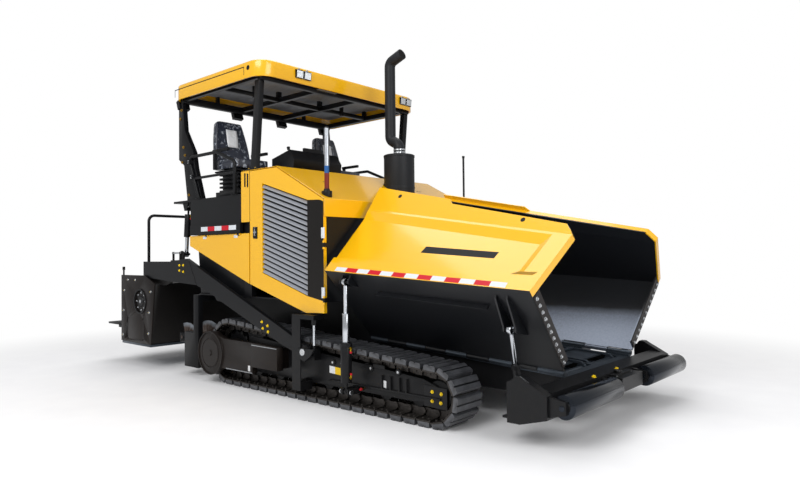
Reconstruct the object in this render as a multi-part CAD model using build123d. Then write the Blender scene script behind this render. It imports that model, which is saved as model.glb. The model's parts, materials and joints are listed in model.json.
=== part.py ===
"""Asphalt paver on crawler tracks, with its hopper wings folded up for travel.

Millimetres. +X points to the hopper, +Y to the machine's left, +Z up. The origin
is on the ground, below the middle of the machine.
"""
from build123d import *
import math
import os

# --- Overall stations along the machine ---------------------------------------
FRONT_X = 3363.0            # faces of the push rollers
REAR_X = -3363.0            # edge of the screed's walkway
CLEAR = 0.3                 # gap between a piece and what carries it
HOUSE_HALF = 1212.0         # half the width over the engine doors, and over the tracks


# --- Crawler tracks --------------------------------------------------------------
SHOE_WIDTH = 340.0
TRACK_Y = HOUSE_HALF - SHOE_WIDTH / 2    # middle of a track
SPROCKET_X, SPROCKET_TIP_R = -670.0, 355.0      # radii are out to the pads' faces
IDLER_X, IDLER_TIP_R = 2165.0, 250.0
SHOE_COUNT = 50
PAD_DEPTH = 42.0            # rubber pad, from its face to the steel shoe
SHOE_THICK = 16.0
LINK_DEPTH = 72.0           # chain links, below the shoes
LINK_WIDTH = 140.0
PAD_SHARE = 0.78            # pad's share of the shoe pitch
ROLLER_R, ROLLER_COUNT = 72.0, 7
CARRIER_R = 48.0
FRAME_GAP = 12.0            # track frame's plates to the chain links
FRAME_PLATE = 14.0

# --- Final drive covers --------------------------------------------------------
COVER_OUT_Y = HOUSE_HALF + 83
COVER_X, COVER_Z, COVER_R = -885.0, 330.0, 237.0
SHOE_GAP = 6.0              # least gap beside the shoes

# --- Tractor frame ----------------------------------------------------------------
FRAME_HALF = 600.0          # outside of the side plates
FRAME_WALL = 20.0
FRAME_LOW, FRAME_TOP = 340.0, 950.0
FRAME_REAR, FRAME_FRONT = -1300.0, 3000.0
DECK_THICK = 12.0
DOOR_THICK = 36.0
DECK_HALF = HOUSE_HALF - DOOR_THICK - 4

# --- Hopper --------------------------------------------------------------------------
HINGE_Y = FRAME_HALF + 60
HINGE_REAR_X, HINGE_REAR_Z = 980.0, 578.0
HINGE_FRONT_X, HINGE_FRONT_Z = 3035.0, 458.0
HINGE_PIN_R, KNUCKLE_R = 12.0, 22.0
KNUCKLES = 9                # knuckles on each hinge line, fixed and moving in turn
BEND_FRONT = (3095.0, HOUSE_HALF + 66, 1128.0)    # widest line of a folded wing, front end
BEVEL_FRONT = (3219.0, HOUSE_HALF - 337, 1524.0)    # fold below the rim, front end
RIM_FRONT = (3153.0, HOUSE_HALF - 395, 1606.0)      # rim, front end
BEVEL_REAR_Y, RIM_REAR_Y = HOUSE_HALF - 522, HOUSE_HALF - 659
WING_PLATE = 12.0
RIM_STEP_XS = (1940.0, 1990.0)           # the rim steps down here
RIM_RISE = 45.0                          # behind the step it stands this much higher
RECESS_DEPTH = 25.0                      # pressed panel in a wing's side
RECESS_EDGES = (168.0, 150.0, 24.0)      # its margins: along the bend, at the front, below the fold
RECESS_SLOPES = (20.0, 60.0, 95.0)       # widths of its sloping sides, in the same order
LINER_GAP = 52.0                         # from a wing's outer skin to its inner liner
FLANGE_WIDTH = 105.0                     # end flange of a wing's lower plate
RIB_SHARES, RIB_WIDTH = (0.26, 0.82), 40.0    # rib outside it: its ends along the plate, and width

# --- Wing cylinders -----------------------------------------------------------------
WING_CYL_FOOT = (1245.0, HOUSE_HALF + 56, 185.0)
WING_CYL_HEAD = (1245.0, HOUSE_HALF + 56, 1150.0)
WING_CYL_AXIS = (-0.9935, -0.11383, 0.0)        # its pins; square to the plane it swings in
STRUT_HEAD = (2831.0, HOUSE_HALF - 112, 823.0)
STRUT_FOOT = (2826.0, HOUSE_HALF - 245, 238.0)
STRUT_AXIS = (-0.99649, -0.07936, 0.02656)
PIN_R = 12.0                # pins of the wing cylinders, struts and lift cylinders
FOOT_FIT = 0.3              # clearance round a foot's pin
EYE_FREE = 14.0             # a rod's eye drifts round its pin by up to this much
EYE_RING = 9.0              # wall round an eye's bore
EYE_HALF = 16.0             # half the length of an eye
FOOT_GAP = 26.0             # half gap between the ears that hold a foot's eye
LUG_GAP = 44.0              # half gap between the lugs that hold a rod's eye
TUBE_BASE = 18.0            # closed end of a cylinder's tube

# --- Push rollers ---------------------------------------------------------------------
PUSH_R = 85.0
PUSH_Z = 326.0
PUSH_IN_Y, PUSH_OUT_Y = 320.0, HOUSE_HALF - 62

# --- Engine house ----------------------------------------------------------------------
HOUSE_REAR_X, HOUSE_FRONT_X = -404.0, 912.0
HOUSE_TOP_Z = 2296.0
HOOD_FOLD_X = 194.0
HOOD_FRONT_Z, HOOD_LIP_Z = 1922.0, 1752.0
SHEET = 8.0
DOOR_REAR_X = -252.0
DOOR_GAP = 6.0
SLAT_COUNT = 18

# --- Operator platform --------------------------------------------------------------
FLOOR_Z = 2054.0
PLATFORM_REAR_X = -1800.0
BOX_REAR_X = -1421.0
STRIP_LOW_Z, STRIP_TOP_Z = 1637.0, 1748.0
FLAP_THICK = 30.0

# --- Canopy -----------------------------------------------------------------------------
CANOPY_FRONT_X, CANOPY_REAR_X = -11.0, -1762.0
CANOPY_HALF = HOUSE_HALF + 38
CANOPY_LOW_Z, CANOPY_TOP_Z = 3263.0, 3440.0
CANOPY_CORNER_R = 190.0
POST_Y = HOUSE_HALF - 57

# --- Exhaust -----------------------------------------------------------------------------
MUFFLER_X, MUFFLER_Y, MUFFLER_R = 520.0, 290.0, 175.0
MUFFLER_TOP_Z = 2530.0
PIPE_R = 62.0
PIPE_TOP_Z = 3750.0

# --- Screed ---------------------------------------------------------------------------------
ARM_IN_Y = HOUSE_HALF + 10
ARM_OUT_Y = ARM_IN_Y + 48
TOW_X, TOW_Z = 681.0, 482.0
SCREED_HALF = ARM_OUT_Y + 30
SCREED_FRONT_X, SCREED_REAR_X = -2110.0, -2990.0
SCREED_LOW_Z, SCREED_TOP_Z = 272.0, 1060.0
SCREED_END = 16.0           # thickness of the end plates
SCREED_WALL = 20.0          # walls of the hollow box between them
BOLT_CENTRE = (-2600.0, 480.0)      # middle of the bolt pattern on an end plate, x and z
BOLT_SPACING = (400.0, 260.0)
BOLT_HOLE_R, BOLT_DEPTH = 11.0, 60.0

LIFT_HEAD = (-1570.0, ARM_IN_Y - 72, 1960.0)    # lift cylinder's pin under the platform
LIFT_FOOT = (-1620.0, ARM_IN_Y - 72, 1420.0)    # and its pin on the tow arm's bracket

# --- Auger ------------------------------------------------------------------------------------
AUGER_X, AUGER_Z, AUGER_R = -1760.0, 420.0, 170.0
AUGER_PITCH = 300.0


# ==========================================================================================
# Small shapes
# ==========================================================================================
def block(x0, x1, y0, y1, z0, z1):
    """A box between two corners."""
    return Pos((x0 + x1) / 2, (y0 + y1) / 2, (z0 + z1) / 2) * Box(abs(x1 - x0), abs(y1 - y0), abs(z1 - z0))


def prism_xz(points, y0, y1):
    """A side profile of (x, z) points, thick from y0 to y1."""
    face = Face(Wire.make_polygon([(x, y0, z) for x, z in points], close=True))
    return Solid.extrude(face, Vector(0, y1 - y0, 0))


def prism_yz(points, x0, x1):
    """A cross-section of (y, z) points, long from x0 to x1."""
    face = Face(Wire.make_polygon([(x0, y, z) for y, z in points], close=True))
    return Solid.extrude(face, Vector(x1 - x0, 0, 0))


def prism_xy(points, z0, z1):
    """A plan of (x, y) points, tall from z0 to z1."""
    face = Face(Wire.make_polygon([(x, y, z0) for x, y in points], close=True))
    return Solid.extrude(face, Vector(0, 0, z1 - z0))


def bar(start, end, radius):
    """A round bar between two points."""
    start, end = Vector(*start), Vector(*end)
    run = end - start
    return Plane(origin=start, z_dir=run) * Cylinder(
        radius, run.length, align=(Align.CENTER, Align.CENTER, Align.MIN))


def disc_y(x, z, radius, y0, y1):
    """A round bar across the machine."""
    return bar((x, min(y0, y1), z), (x, max(y0, y1), z), radius)


def fuse(*shapes):
    """All the shapes as one."""
    body = shapes[0]
    for shape in shapes[1:]:
        body = body + shape
    return body


def left_and_right(shape):
    """The left piece and its mirror image on the right."""
    return shape, mirror(shape, about=Plane.XZ)


def save(name, *shapes):
    """One STEP file for each node."""
    solids = [solid for shape in shapes for solid in shape.solids()]
    export_step(Compound(children=solids) if len(solids) > 1 else solids[0], f"parts/{name}.step")


def save_pair(name, shape):
    """A left piece and its mirror image, as two nodes."""
    left, right = left_and_right(shape)
    save(f"{name}_left", left)
    save(f"{name}_right", right)


# ==========================================================================================
# Crawler tracks
# ==========================================================================================
def top_run_tilt():
    """Fall of the loop's top run to the front; its bottom run lies on the ground."""
    return 2 * math.atan2(SPROCKET_TIP_R - IDLER_TIP_R, IDLER_X - SPROCKET_X)


def belt(depth, steps):
    """Points of the track's loop at a depth below the pads' faces.

    steps holds shares of the loop's length, from the top of the sprocket forward.
    """
    tilt = top_run_tilt()
    run = IDLER_X - SPROCKET_X
    idler = (IDLER_X, IDLER_TIP_R)
    sprocket = (SPROCKET_X, SPROCKET_TIP_R)
    front_turn = math.pi - tilt
    rear_turn = math.pi + tilt
    lengths = (run, IDLER_TIP_R * front_turn, run, SPROCKET_TIP_R * rear_turn)
    total = sum(lengths)
    points = []
    for share in steps:
        along = (share % 1.0) * total
        if along < lengths[0]:
            angle = math.pi / 2 - tilt
            base = (sprocket[0] + along * math.cos(tilt) + SPROCKET_TIP_R * math.cos(angle),
                    sprocket[1] - along * math.sin(tilt) + SPROCKET_TIP_R * math.sin(angle))
        elif along < lengths[0] + lengths[1]:
            angle = math.pi / 2 - tilt - (along - lengths[0]) / IDLER_TIP_R
            base = (idler[0] + IDLER_TIP_R * math.cos(angle), idler[1] + IDLER_TIP_R * math.sin(angle))
        elif along < total - lengths[3]:
            angle = -math.pi / 2
            base = (idler[0] - (along - lengths[0] - lengths[1]), 0.0)
        else:
            angle = -math.pi / 2 - (along - total + lengths[3]) / SPROCKET_TIP_R
            base = (sprocket[0] + SPROCKET_TIP_R * math.cos(angle),
                    sprocket[1] + SPROCKET_TIP_R * math.sin(angle))
        points.append((base[0] - depth * math.cos(angle), base[1] - depth * math.sin(angle)))
    return points


def ring(outer, inner, half_width):
    """A loop between two outlines, centred on the left track."""
    low, high = TRACK_Y - half_width, TRACK_Y + half_width
    return prism_xz(outer, low, high) - prism_xz(inner, low - 1, high + 1)


def track():
    """Shoes with rubber pads and the chain under them, as one loop."""
    edges = []
    for shoe in range(SHOE_COUNT):
        edges += [((shoe + share) / SHOE_COUNT, depth) for share, depth in
                  ((0.0, PAD_DEPTH), (0.06, 0.0), (PAD_SHARE - 0.06, 0.0), (PAD_SHARE, PAD_DEPTH))]
    pads = [belt(depth, [share])[0] for share, depth in edges]
    halves = [step / (2 * SHOE_COUNT) for step in range(2 * SHOE_COUNT)]
    links_out = belt(PAD_DEPTH + SHOE_THICK - 2, halves)
    shoes_in = belt(PAD_DEPTH + SHOE_THICK, halves)
    links_in = belt(CHAIN_IN, halves)
    return ring(pads, shoes_in, SHOE_WIDTH / 2) + ring(links_out, links_in, LINK_WIDTH / 2)


CHAIN_IN = PAD_DEPTH + SHOE_THICK + LINK_DEPTH          # depth of the chain's inner side
FRAME_IN_Y = TRACK_Y - LINK_WIDTH / 2 - FRAME_GAP       # inside faces of the track frame's plates
FRAME_OUT_Y = TRACK_Y + LINK_WIDTH / 2 + FRAME_GAP
FRAME_FACE_Y = FRAME_OUT_Y + FRAME_PLATE
ROLLER_Z = CHAIN_IN + ROLLER_R + CLEAR
AXLE_R = 20.0


def top_run_z(x, depth):
    """Height of the top run at a station, at a depth below the pads' faces."""
    tilt = top_run_tilt()
    start_x = SPROCKET_X + (SPROCKET_TIP_R - depth) * math.sin(tilt)
    start_z = SPROCKET_TIP_R + (SPROCKET_TIP_R - depth) * math.cos(tilt)
    return start_z - (x - start_x) * math.tan(tilt)


ROLLER_XS = [SPROCKET_X + 420 + i * (IDLER_X - SPROCKET_X - 640) / (ROLLER_COUNT - 1)
             for i in range(ROLLER_COUNT)]
CARRIER_XS = (350.0, 1350.0)


def carrier_z(x):
    """Centre of a carrier roller under the top run."""
    return top_run_z(x, CHAIN_IN) - CARRIER_R - 1.0


def wheels():
    """Sprocket, idler, track rollers and carrier rollers of the left track."""
    low, high = TRACK_Y - LINK_WIDTH / 2, TRACK_Y + LINK_WIDTH / 2
    tip = SPROCKET_TIP_R - CHAIN_IN - 2.0
    teeth = 13
    outline = []
    for i in range(teeth):
        for share, radius in ((0.0, tip - 30), (0.28, tip - 30), (0.5, tip), (0.72, tip), (0.9, tip - 30)):
            angle = 2 * math.pi * (i + share) / teeth
            outline.append((SPROCKET_X + radius * math.cos(angle), SPROCKET_TIP_R + radius * math.sin(angle)))
    sprocket = prism_xz(outline, TRACK_Y - 35, TRACK_Y + 35) - disc_y(
        SPROCKET_X, SPROCKET_TIP_R, HUB_R + CLEAR, low, high)
    idler_r = IDLER_TIP_R - CHAIN_IN - 2.0
    idler = (disc_y(IDLER_X, IDLER_TIP_R, idler_r, low, high)
             + disc_y(IDLER_X, IDLER_TIP_R, AXLE_R, FRAME_IN_Y, FRAME_OUT_Y))
    pieces = [sprocket, idler]
    for x in ROLLER_XS:
        pieces.append(disc_y(x, ROLLER_Z, ROLLER_R, low, high)
                      + disc_y(x, ROLLER_Z, AXLE_R, FRAME_IN_Y, FRAME_OUT_Y))
    for x in CARRIER_XS:
        pieces.append(disc_y(x, carrier_z(x), CARRIER_R, low, high)
                      + disc_y(x, carrier_z(x), AXLE_R, FRAME_IN_Y, FRAME_OUT_Y))
    return pieces


HUB_R = 130.0
TRACK_FRAME_REAR_X = -380.0
TRACK_FRAME_LOW_Z = 172.0
TRACK_FRAME_NOSE_X = IDLER_X + 70.0
CROSS_XS = (250.0, 1650.0)                # stations of the cross-members
CROSS_LOW_Z, CROSS_TOP_Z = 205.0, FRAME_LOW


def track_frames():
    """Both track frames: side plates beside the chain, joined by cross-members."""
    rear_top = top_run_z(TRACK_FRAME_REAR_X, CHAIN_IN + 12)
    front_top = top_run_z(IDLER_X - 150, CHAIN_IN + 12)
    side = [(TRACK_FRAME_REAR_X, TRACK_FRAME_LOW_Z), (IDLER_X - 260, TRACK_FRAME_LOW_Z),
            (TRACK_FRAME_NOSE_X, IDLER_TIP_R - 50), (TRACK_FRAME_NOSE_X, IDLER_TIP_R + 50),
            (IDLER_X - 150, front_top), (TRACK_FRAME_REAR_X, rear_top)]
    outer = prism_xz(side, FRAME_OUT_Y, FRAME_FACE_Y)
    inner = prism_xz(side, FRAME_IN_Y - FRAME_PLATE, FRAME_IN_Y)
    web_front = IDLER_X - 300
    web = prism_xz([(TRACK_FRAME_REAR_X, ROLLER_Z + ROLLER_R + 12), (web_front, ROLLER_Z + ROLLER_R + 12),
                    (web_front, ROLLER_Z + ROLLER_R + 30), (TRACK_FRAME_REAR_X, ROLLER_Z + ROLLER_R + 30)],
                   FRAME_IN_Y, FRAME_OUT_Y)
    frame = fuse(outer, inner, web)
    # Ledge along the plate, and the ribs of the idler's guide at its front.
    frame += block(900, IDLER_X + 40, FRAME_FACE_Y, FRAME_FACE_Y + 22, 222, 236)
    for x in (1560.0, 1660.0, 1760.0, 1840.0):
        frame += block(x, x + 14, FRAME_FACE_Y, FRAME_FACE_Y + 22, 236, 350)
    left, right = left_and_right(frame + cylinder_foot())
    both = left + right
    for x in CROSS_XS:
        both += block(x - 110, x + 110, -(FRAME_IN_Y - FRAME_PLATE), FRAME_IN_Y - FRAME_PLATE,
                      CROSS_LOW_Z, CROSS_TOP_Z)
    return both


def final_drive():
    """Left drive housing: a round cover behind, a stepped box ahead, and the hub."""
    cover_in = TRACK_Y + SHOE_WIDTH / 2 + SHOE_GAP
    round_end = disc_y(COVER_X, COVER_Z, COVER_R, cover_in, COVER_OUT_Y)
    rear_box = prism_xz([(COVER_X, COVER_Z - COVER_R + 60), (-640, 185), (-127, 185), (-127, 498), (-640, 502),
                         (COVER_X, COVER_Z + COVER_R)], cover_in, COVER_OUT_Y - 14)
    front_box = prism_xz([(-127, 257), (295, 257), (295, 487), (-127, 500)], cover_in, COVER_OUT_Y)
    # Inside the loop the box runs in to the track frame.
    root_box = block(-100, 280, FRAME_FACE_Y, cover_in, 270, 470)
    hub = disc_y(SPROCKET_X, SPROCKET_TIP_R, HUB_R, TRACK_Y - 90, cover_in)
    return fuse(round_end, rear_box, front_box, root_box, hub)


# ==========================================================================================
# Tractor frame
# ==========================================================================================
def hinge_z(x):
    """Height of the wing hinge at a station."""
    slope = (HINGE_FRONT_Z - HINGE_REAR_Z) / (HINGE_FRONT_X - HINGE_REAR_X)
    return HINGE_REAR_Z + (x - HINGE_REAR_X) * slope


CONVEYOR_REAR_X, CONVEYOR_FRONT_X = -1230.0, 2880.0
LANE_IN_Y, LANE_OUT_Y = 30.0, FRAME_HALF - 60
SLAT_PITCH = 260.0
FLOOR_DROP = 26.0                       # hopper floor's face below the hinge line
FLOOR_THICK = 12.0


def chassis():
    """Two side plates, tunnel floor and cross-walls from the hopper to the auger."""
    in_half = FRAME_HALF - FRAME_WALL
    low_front = 250.0
    side = [(FRAME_REAR, FRAME_LOW), (1900, FRAME_LOW), (2000, low_front), (FRAME_FRONT, low_front),
            (FRAME_FRONT, hinge_z(FRAME_FRONT) - FLOOR_DROP - FLOOR_THICK),
            (HINGE_REAR_X - 30, hinge_z(HINGE_REAR_X - 30) - FLOOR_DROP - FLOOR_THICK),
            (HINGE_REAR_X - 30, FRAME_TOP), (FRAME_REAR, FRAME_TOP)]
    body = prism_xz(side, in_half, FRAME_HALF) + prism_xz(side, -FRAME_HALF, -in_half)
    body += block(FRAME_REAR, 1900, -in_half, in_half, FRAME_LOW, FRAME_LOW + 14)
    body += block(FRAME_FRONT - 20, FRAME_FRONT, -in_half, in_half, low_front, 380)
    # Tunnel roof, under the engine.
    body += block(FRAME_REAR, HINGE_REAR_X - 30, -in_half, in_half, 860, FRAME_TOP)
    return body


def hopper_floor():
    """Floor of the tunnel and hopper, with the hinge pins and fixed knuckles of both wings."""
    deck_z = hinge_z(HINGE_REAR_X) - FLOOR_DROP
    x0, x1 = HINGE_REAR_X, HINGE_FRONT_X
    end_z = hinge_z(x1) - FLOOR_DROP
    floor = prism_xz([(x0, deck_z), (x1, end_z), (x1, end_z - FLOOR_THICK), (x0, deck_z - FLOOR_THICK)],
                     -(HINGE_Y - 30), HINGE_Y - 30)
    shaft_gap = 80.0                     # room for the conveyor's chains round their shafts
    tunnel_half = FRAME_HALF - FRAME_WALL - CLEAR
    floor += block(CONVEYOR_REAR_X + shaft_gap, x0 + 1, -tunnel_half, tunnel_half, deck_z - FLOOR_THICK, deck_z)
    for side in (1, -1):
        low, high = sorted((side * (LANE_IN_Y - 6), side * (LANE_OUT_Y + 6)))
        floor -= block(CONVEYOR_FRONT_X - shaft_gap, CONVEYOR_FRONT_X + shaft_gap, low, high, 300, 700)
    for side in (1, -1):
        start = (HINGE_REAR_X, side * HINGE_Y, HINGE_REAR_Z)
        end = (HINGE_FRONT_X, side * HINGE_Y, HINGE_FRONT_Z)
        floor += bar(start, end, HINGE_PIN_R)
        for index in range(0, KNUCKLES, 2):
            a, b = knuckle_span(index)
            floor += bar(hinge_point(a, side), hinge_point(b, side), KNUCKLE_R)
            xa, xb = hinge_point(a, side)[0], hinge_point(b, side)[0]
            y_in, y_out = side * (HINGE_Y - 60), side * HINGE_Y
            web = [(xa, hinge_z(xa) - FLOOR_DROP), (xb, hinge_z(xb) - FLOOR_DROP),
                   (xb, hinge_z(xb) - 8), (xa, hinge_z(xa) - 8)]
            floor += prism_xz(web, min(y_in, y_out), max(y_in, y_out))
    return floor


def knuckle_span(index):
    """Shares of the hinge line where one knuckle starts and ends."""
    gap = 0.002
    return index / KNUCKLES + gap, (index + 1) / KNUCKLES - gap


def hinge_point(share, side):
    """A point on a wing's hinge line."""
    return (HINGE_REAR_X + share * (HINGE_FRONT_X - HINGE_REAR_X), side * HINGE_Y,
            HINGE_REAR_Z + share * (HINGE_FRONT_Z - HINGE_REAR_Z))


def conveyor_lane():
    """Left drag conveyor: two chains over shafts at the ends, with cross slats."""
    half = 55.0
    front_z = hinge_z(CONVEYOR_FRONT_X) - FLOOR_DROP + 16 - half
    rear_z = hinge_z(HINGE_REAR_X) - FLOOR_DROP + 16 - half
    run_z = [(CONVEYOR_REAR_X, rear_z), (HINGE_REAR_X, rear_z), (CONVEYOR_FRONT_X, front_z)]

    def loop(r, y0, y1):
        path = [(CONVEYOR_REAR_X - r, rear_z)]
        path += [(x, z + r) for x, z in run_z] + [(CONVEYOR_FRONT_X + r, front_z)]
        path += [(x, z - r) for x, z in reversed(run_z)]
        return prism_xz(path, y0, y1)

    lane = None
    for y in (LANE_IN_Y, LANE_OUT_Y - 30):
        chain = loop(half, y, y + 30) - loop(half - 14, y - 1, y + 31)
        lane = chain if lane is None else lane + chain
    count = int((CONVEYOR_FRONT_X - CONVEYOR_REAR_X) / SLAT_PITCH)
    for i in range(count):
        x = CONVEYOR_REAR_X + 80 + i * SLAT_PITCH
        share = max(0.0, (x - HINGE_REAR_X) / (CONVEYOR_FRONT_X - HINGE_REAR_X))
        z = rear_z + (front_z - rear_z) * share
        for level in (z + half - 14, z - half - 4):
            lane += block(x, x + 40, LANE_IN_Y, LANE_OUT_Y, level, level + 18)
    for x, z in (run_z[0], run_z[-1]):
        lane += disc_y(x, z, 22, LANE_IN_Y, FRAME_HALF - FRAME_WALL)
        lane += disc_y(x, z, half - 10, LANE_IN_Y + 2, LANE_IN_Y + 28)
        lane += disc_y(x, z, half - 10, LANE_OUT_Y - 28, LANE_OUT_Y - 2)
    return lane


GUARD_X = 2856.0            # rear edge of the beam's end guards


def front_beam():
    """Push beam across the front, its end plates, apron and roller brackets."""
    face = FRONT_X - 2 * PUSH_R - 15
    half = HOUSE_HALF - 82
    beam = block(FRAME_FRONT, face, -half, half, PUSH_Z - 95, PUSH_Z + 70)
    apron = prism_xz([(FRAME_FRONT + 40, hinge_z(FRAME_FRONT) - 40), (face - 30, PUSH_Z + 70),
                      (face, PUSH_Z + 70), (face, PUSH_Z + 84), (FRAME_FRONT + 40, hinge_z(FRAME_FRONT) - 26)],
                     -half, half)
    body = beam + apron
    for side in (1, -1):
        plate = prism_xz([(GUARD_X, 170), (2960, 170), (face, PUSH_Z - 95), (face, PUSH_Z + 70), (2965, 512),
                          (2925, 512), (2900, 480), (GUARD_X, 462)], *sorted((side * half, side * HOUSE_HALF)))
        plate -= block(GUARD_X - 1, GUARD_X + 18, *sorted((side * (half - 1), side * (HOUSE_HALF - 16))), 160, 520)
        body += plate
        for y in (PUSH_IN_Y - 40, PUSH_OUT_Y + 2):
            low, high = sorted((side * y, side * (y + 36)))
            body += prism_xz([(face - 5, PUSH_Z - 80), (FRONT_X - PUSH_R + 30, PUSH_Z - 45),
                              (FRONT_X - PUSH_R + 30, PUSH_Z + 45), (face - 5, PUSH_Z + 66)], low, high)
            body -= disc_y(FRONT_X - PUSH_R, PUSH_Z, 22 + 0.1, low - 1, high + 1)
        # Ears of the strut's foot, on a shelf behind the end plate.
        x, y, z = STRUT_FOOT
        body += block(x - 60, FRAME_FRONT + 1, *sorted((side * (y - 45), side * (half + 1))), z - 62, z - 46)
        for offset in (-FOOT_GAP - 14, FOOT_GAP):
            body += block(x + offset, x + offset + 14, *sorted((side * (y - 32), side * (y + 32))), z - 47, z + 28)
        ax, ay, az = STRUT_AXIS
        body += pin((x, side * y, z), (ax, side * ay, az), FOOT_GAP + 14)
    body += block(face, FRONT_X - 60, -210, 210, PUSH_Z - 50, PUSH_Z + 60)
    return body


def push_roller():
    """Left push roller on its shaft."""
    x = FRONT_X - PUSH_R
    return (disc_y(x, PUSH_Z, PUSH_R, PUSH_IN_Y, PUSH_OUT_Y)
            + disc_y(x, PUSH_Z, 22, PUSH_IN_Y - 42, PUSH_OUT_Y + 40))


# ==========================================================================================
# Hopper wings
# ==========================================================================================
def on_plane(p, q, r, x, y):
    """The point at (x, y) of the plane through three points."""
    normal = (q - p).cross(r - p)
    return Vector(x, y, p.Z - (normal.X * (x - p.X) + normal.Y * (y - p.Y)) / normal.Z)


def wing_corners():
    """Corners of the left wing's outer face, so that each panel is flat."""
    c = {
        "hinge_rear": Vector(HINGE_REAR_X, HINGE_Y, HINGE_REAR_Z),
        "hinge_front": Vector(HINGE_FRONT_X, HINGE_Y, HINGE_FRONT_Z),
        "bend_front": Vector(*BEND_FRONT),
        "bevel_front": Vector(*BEVEL_FRONT),
        "rim_front": Vector(*RIM_FRONT),
    }
    c["bend_rear"] = on_plane(c["hinge_rear"], c["hinge_front"], c["bend_front"], HINGE_REAR_X, BEND_FRONT[1])
    c["bevel_rear"] = on_plane(c["bend_rear"], c["bend_front"], c["bevel_front"], HINGE_REAR_X, BEVEL_REAR_Y)
    c["rim_rear"] = on_plane(c["bevel_rear"], c["bevel_front"], c["rim_front"], HINGE_REAR_X, RIM_REAR_Y)
    return c


def panel(points, inside, thick):
    """A flat panel between corner points, thickened to the side of an inside point."""
    normal = (points[1] - points[0]).cross(points[2] - points[0]).normalized()
    if normal.dot(inside - points[0]) < 0:
        normal = normal * -1
    return Solid.extrude(Face(Wire.make_polygon(points, close=True)), normal * thick)


HOPPER_INSIDE = Vector(2000, 0, 1600)    # a point above the hopper's middle


def inset(points, widths):
    """The corners of a flat polygon, its edges moved inward by these widths; edge i starts at point i."""
    count = len(points)
    normal = (points[1] - points[0]).cross(points[2] - points[1]).normalized()
    lines = []
    for i in range(count):
        along = (points[(i + 1) % count] - points[i]).normalized()
        lines.append((points[i] + normal.cross(along) * widths[i], along))
    corners = []
    for i in range(count):
        (p, d), (q, e) = lines[i - 1], lines[i]
        side = normal.cross(e)
        corners.append(p + d * ((q - p).dot(side) / d.dot(side)))
    return corners


def lower_face_y(x, z):
    """Where the outer face of a wing's lower plate is at a station and height."""
    c = wing_corners()
    normal = (c["hinge_front"] - c["hinge_rear"]).cross(c["bend_front"] - c["hinge_front"])
    start = c["hinge_rear"]
    return start.Y - (normal.X * (x - start.X) + normal.Z * (z - start.Z)) / normal.Y


def pin_lug(x, y, z, rise):
    """A lug from the lower plate out to a pin, with its root running up the plate."""
    sunk = 6
    top, low = z + rise, z - 50
    return prism_yz([(lower_face_y(x, low) - sunk, low), (y, z - 24), (y + 22, z - 12), (y + 22, z + 14),
                     (lower_face_y(x, top - 30) + 30, top - 30), (lower_face_y(x, top) - sunk, top)], x, x + 14)


def wing_plate():
    """Lower steel plate of the left wing with its moving knuckles, and the liner above it."""
    c = wing_corners()
    up_rear = (c["bend_rear"] - c["hinge_rear"]).normalized()
    up_front = (c["bend_front"] - c["hinge_front"]).normalized()
    start = KNUCKLE_R + 6
    low_rear, low_front = c["hinge_rear"] + up_rear * start, c["hinge_front"] + up_front * start
    plate = panel([low_rear, low_front, c["bend_front"], c["bend_rear"]], HOPPER_INSIDE, WING_PLATE)
    for index in range(1, KNUCKLES, 2):
        a, b = knuckle_span(index)
        pa, pb = Vector(*hinge_point(a, 1)), Vector(*hinge_point(b, 1))
        tab = panel([pa, pb, pb + up_front * (start + 20), pa + up_rear * (start + 20)], HOPPER_INSIDE, WING_PLATE)
        plate += tab + bar(tuple(pa), tuple(pb), KNUCKLE_R)
    plate -= bar(hinge_point(-0.02, 1), hinge_point(1.02, 1), HINGE_PIN_R + 0.1)
    # Liner inside the skin, from the lower plate up to the rim.
    side_in = skin_inward("bend_rear", "bend_front", "bevel_front")
    rim_in = skin_inward("bevel_rear", "bevel_front", "rim_front")
    foot_rear = c["bend_rear"] - up_rear * (LINER_GAP / -up_rear.dot(side_in))
    foot_front = c["bend_front"] - up_front * (LINER_GAP / -up_front.dot(side_in))
    fold_in = (side_in + rim_in) * (LINER_GAP / (1 + side_in.dot(rim_in)))
    set_back = WING_PLATE + 4
    bend_back = (c["bend_rear"] - c["bend_front"]).normalized() * set_back
    fold_back = (c["bevel_rear"] - c["bevel_front"]).normalized() * set_back
    fold_rear, fold_front = c["bevel_rear"] + fold_in, c["bevel_front"] + fold_in + fold_back
    plate += panel([foot_rear, foot_front + bend_back, fold_front, fold_rear], HOPPER_INSIDE, WING_PLATE)
    plate += panel([fold_rear, fold_front, c["rim_front"] + rim_in * LINER_GAP + fold_back,
                    c["rim_rear"] + rim_in * LINER_GAP], HOPPER_INSIDE, WING_PLATE)
    plate += fold_seam(fold_rear, fold_front, side_in + rim_in)
    # End flange across the hopper's mouth, and the rib along the outside.
    along = c["hinge_front"] - c["hinge_rear"]
    inward = along.cross(up_front).normalized()
    inward = inward * math.copysign(1, inward.dot(HOPPER_INSIDE - low_front))
    foot, head = low_front + up_front * 30, foot_front - up_front * (WING_PLATE + 6)
    plate += panel([foot, head, head + inward * FLANGE_WIDTH, foot + inward * FLANGE_WIDTH],
                   c["hinge_rear"], WING_PLATE)
    rib = [c["hinge_rear"] + along * share + (c["bend_rear"] - c["hinge_rear"]) * 0.76 for share in RIB_SHARES]
    plate += panel([rib[0] + inward * 4, rib[1] + inward * 4, rib[1] - inward * RIB_WIDTH, rib[0] - inward * RIB_WIDTH],
                   c["bend_rear"], WING_PLATE)
    # Lugs and pins for the heads of the cylinder and the strut.
    for head, axis, rise in ((WING_CYL_HEAD, WING_CYL_AXIS, 70), (STRUT_HEAD, STRUT_AXIS, 270)):
        x, y, z = head
        for offset in (-LUG_GAP - 14, LUG_GAP):
            plate += pin_lug(x + offset, y, z, rise)
        plate += pin(head, axis, LUG_GAP + 10)
    return plate


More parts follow.
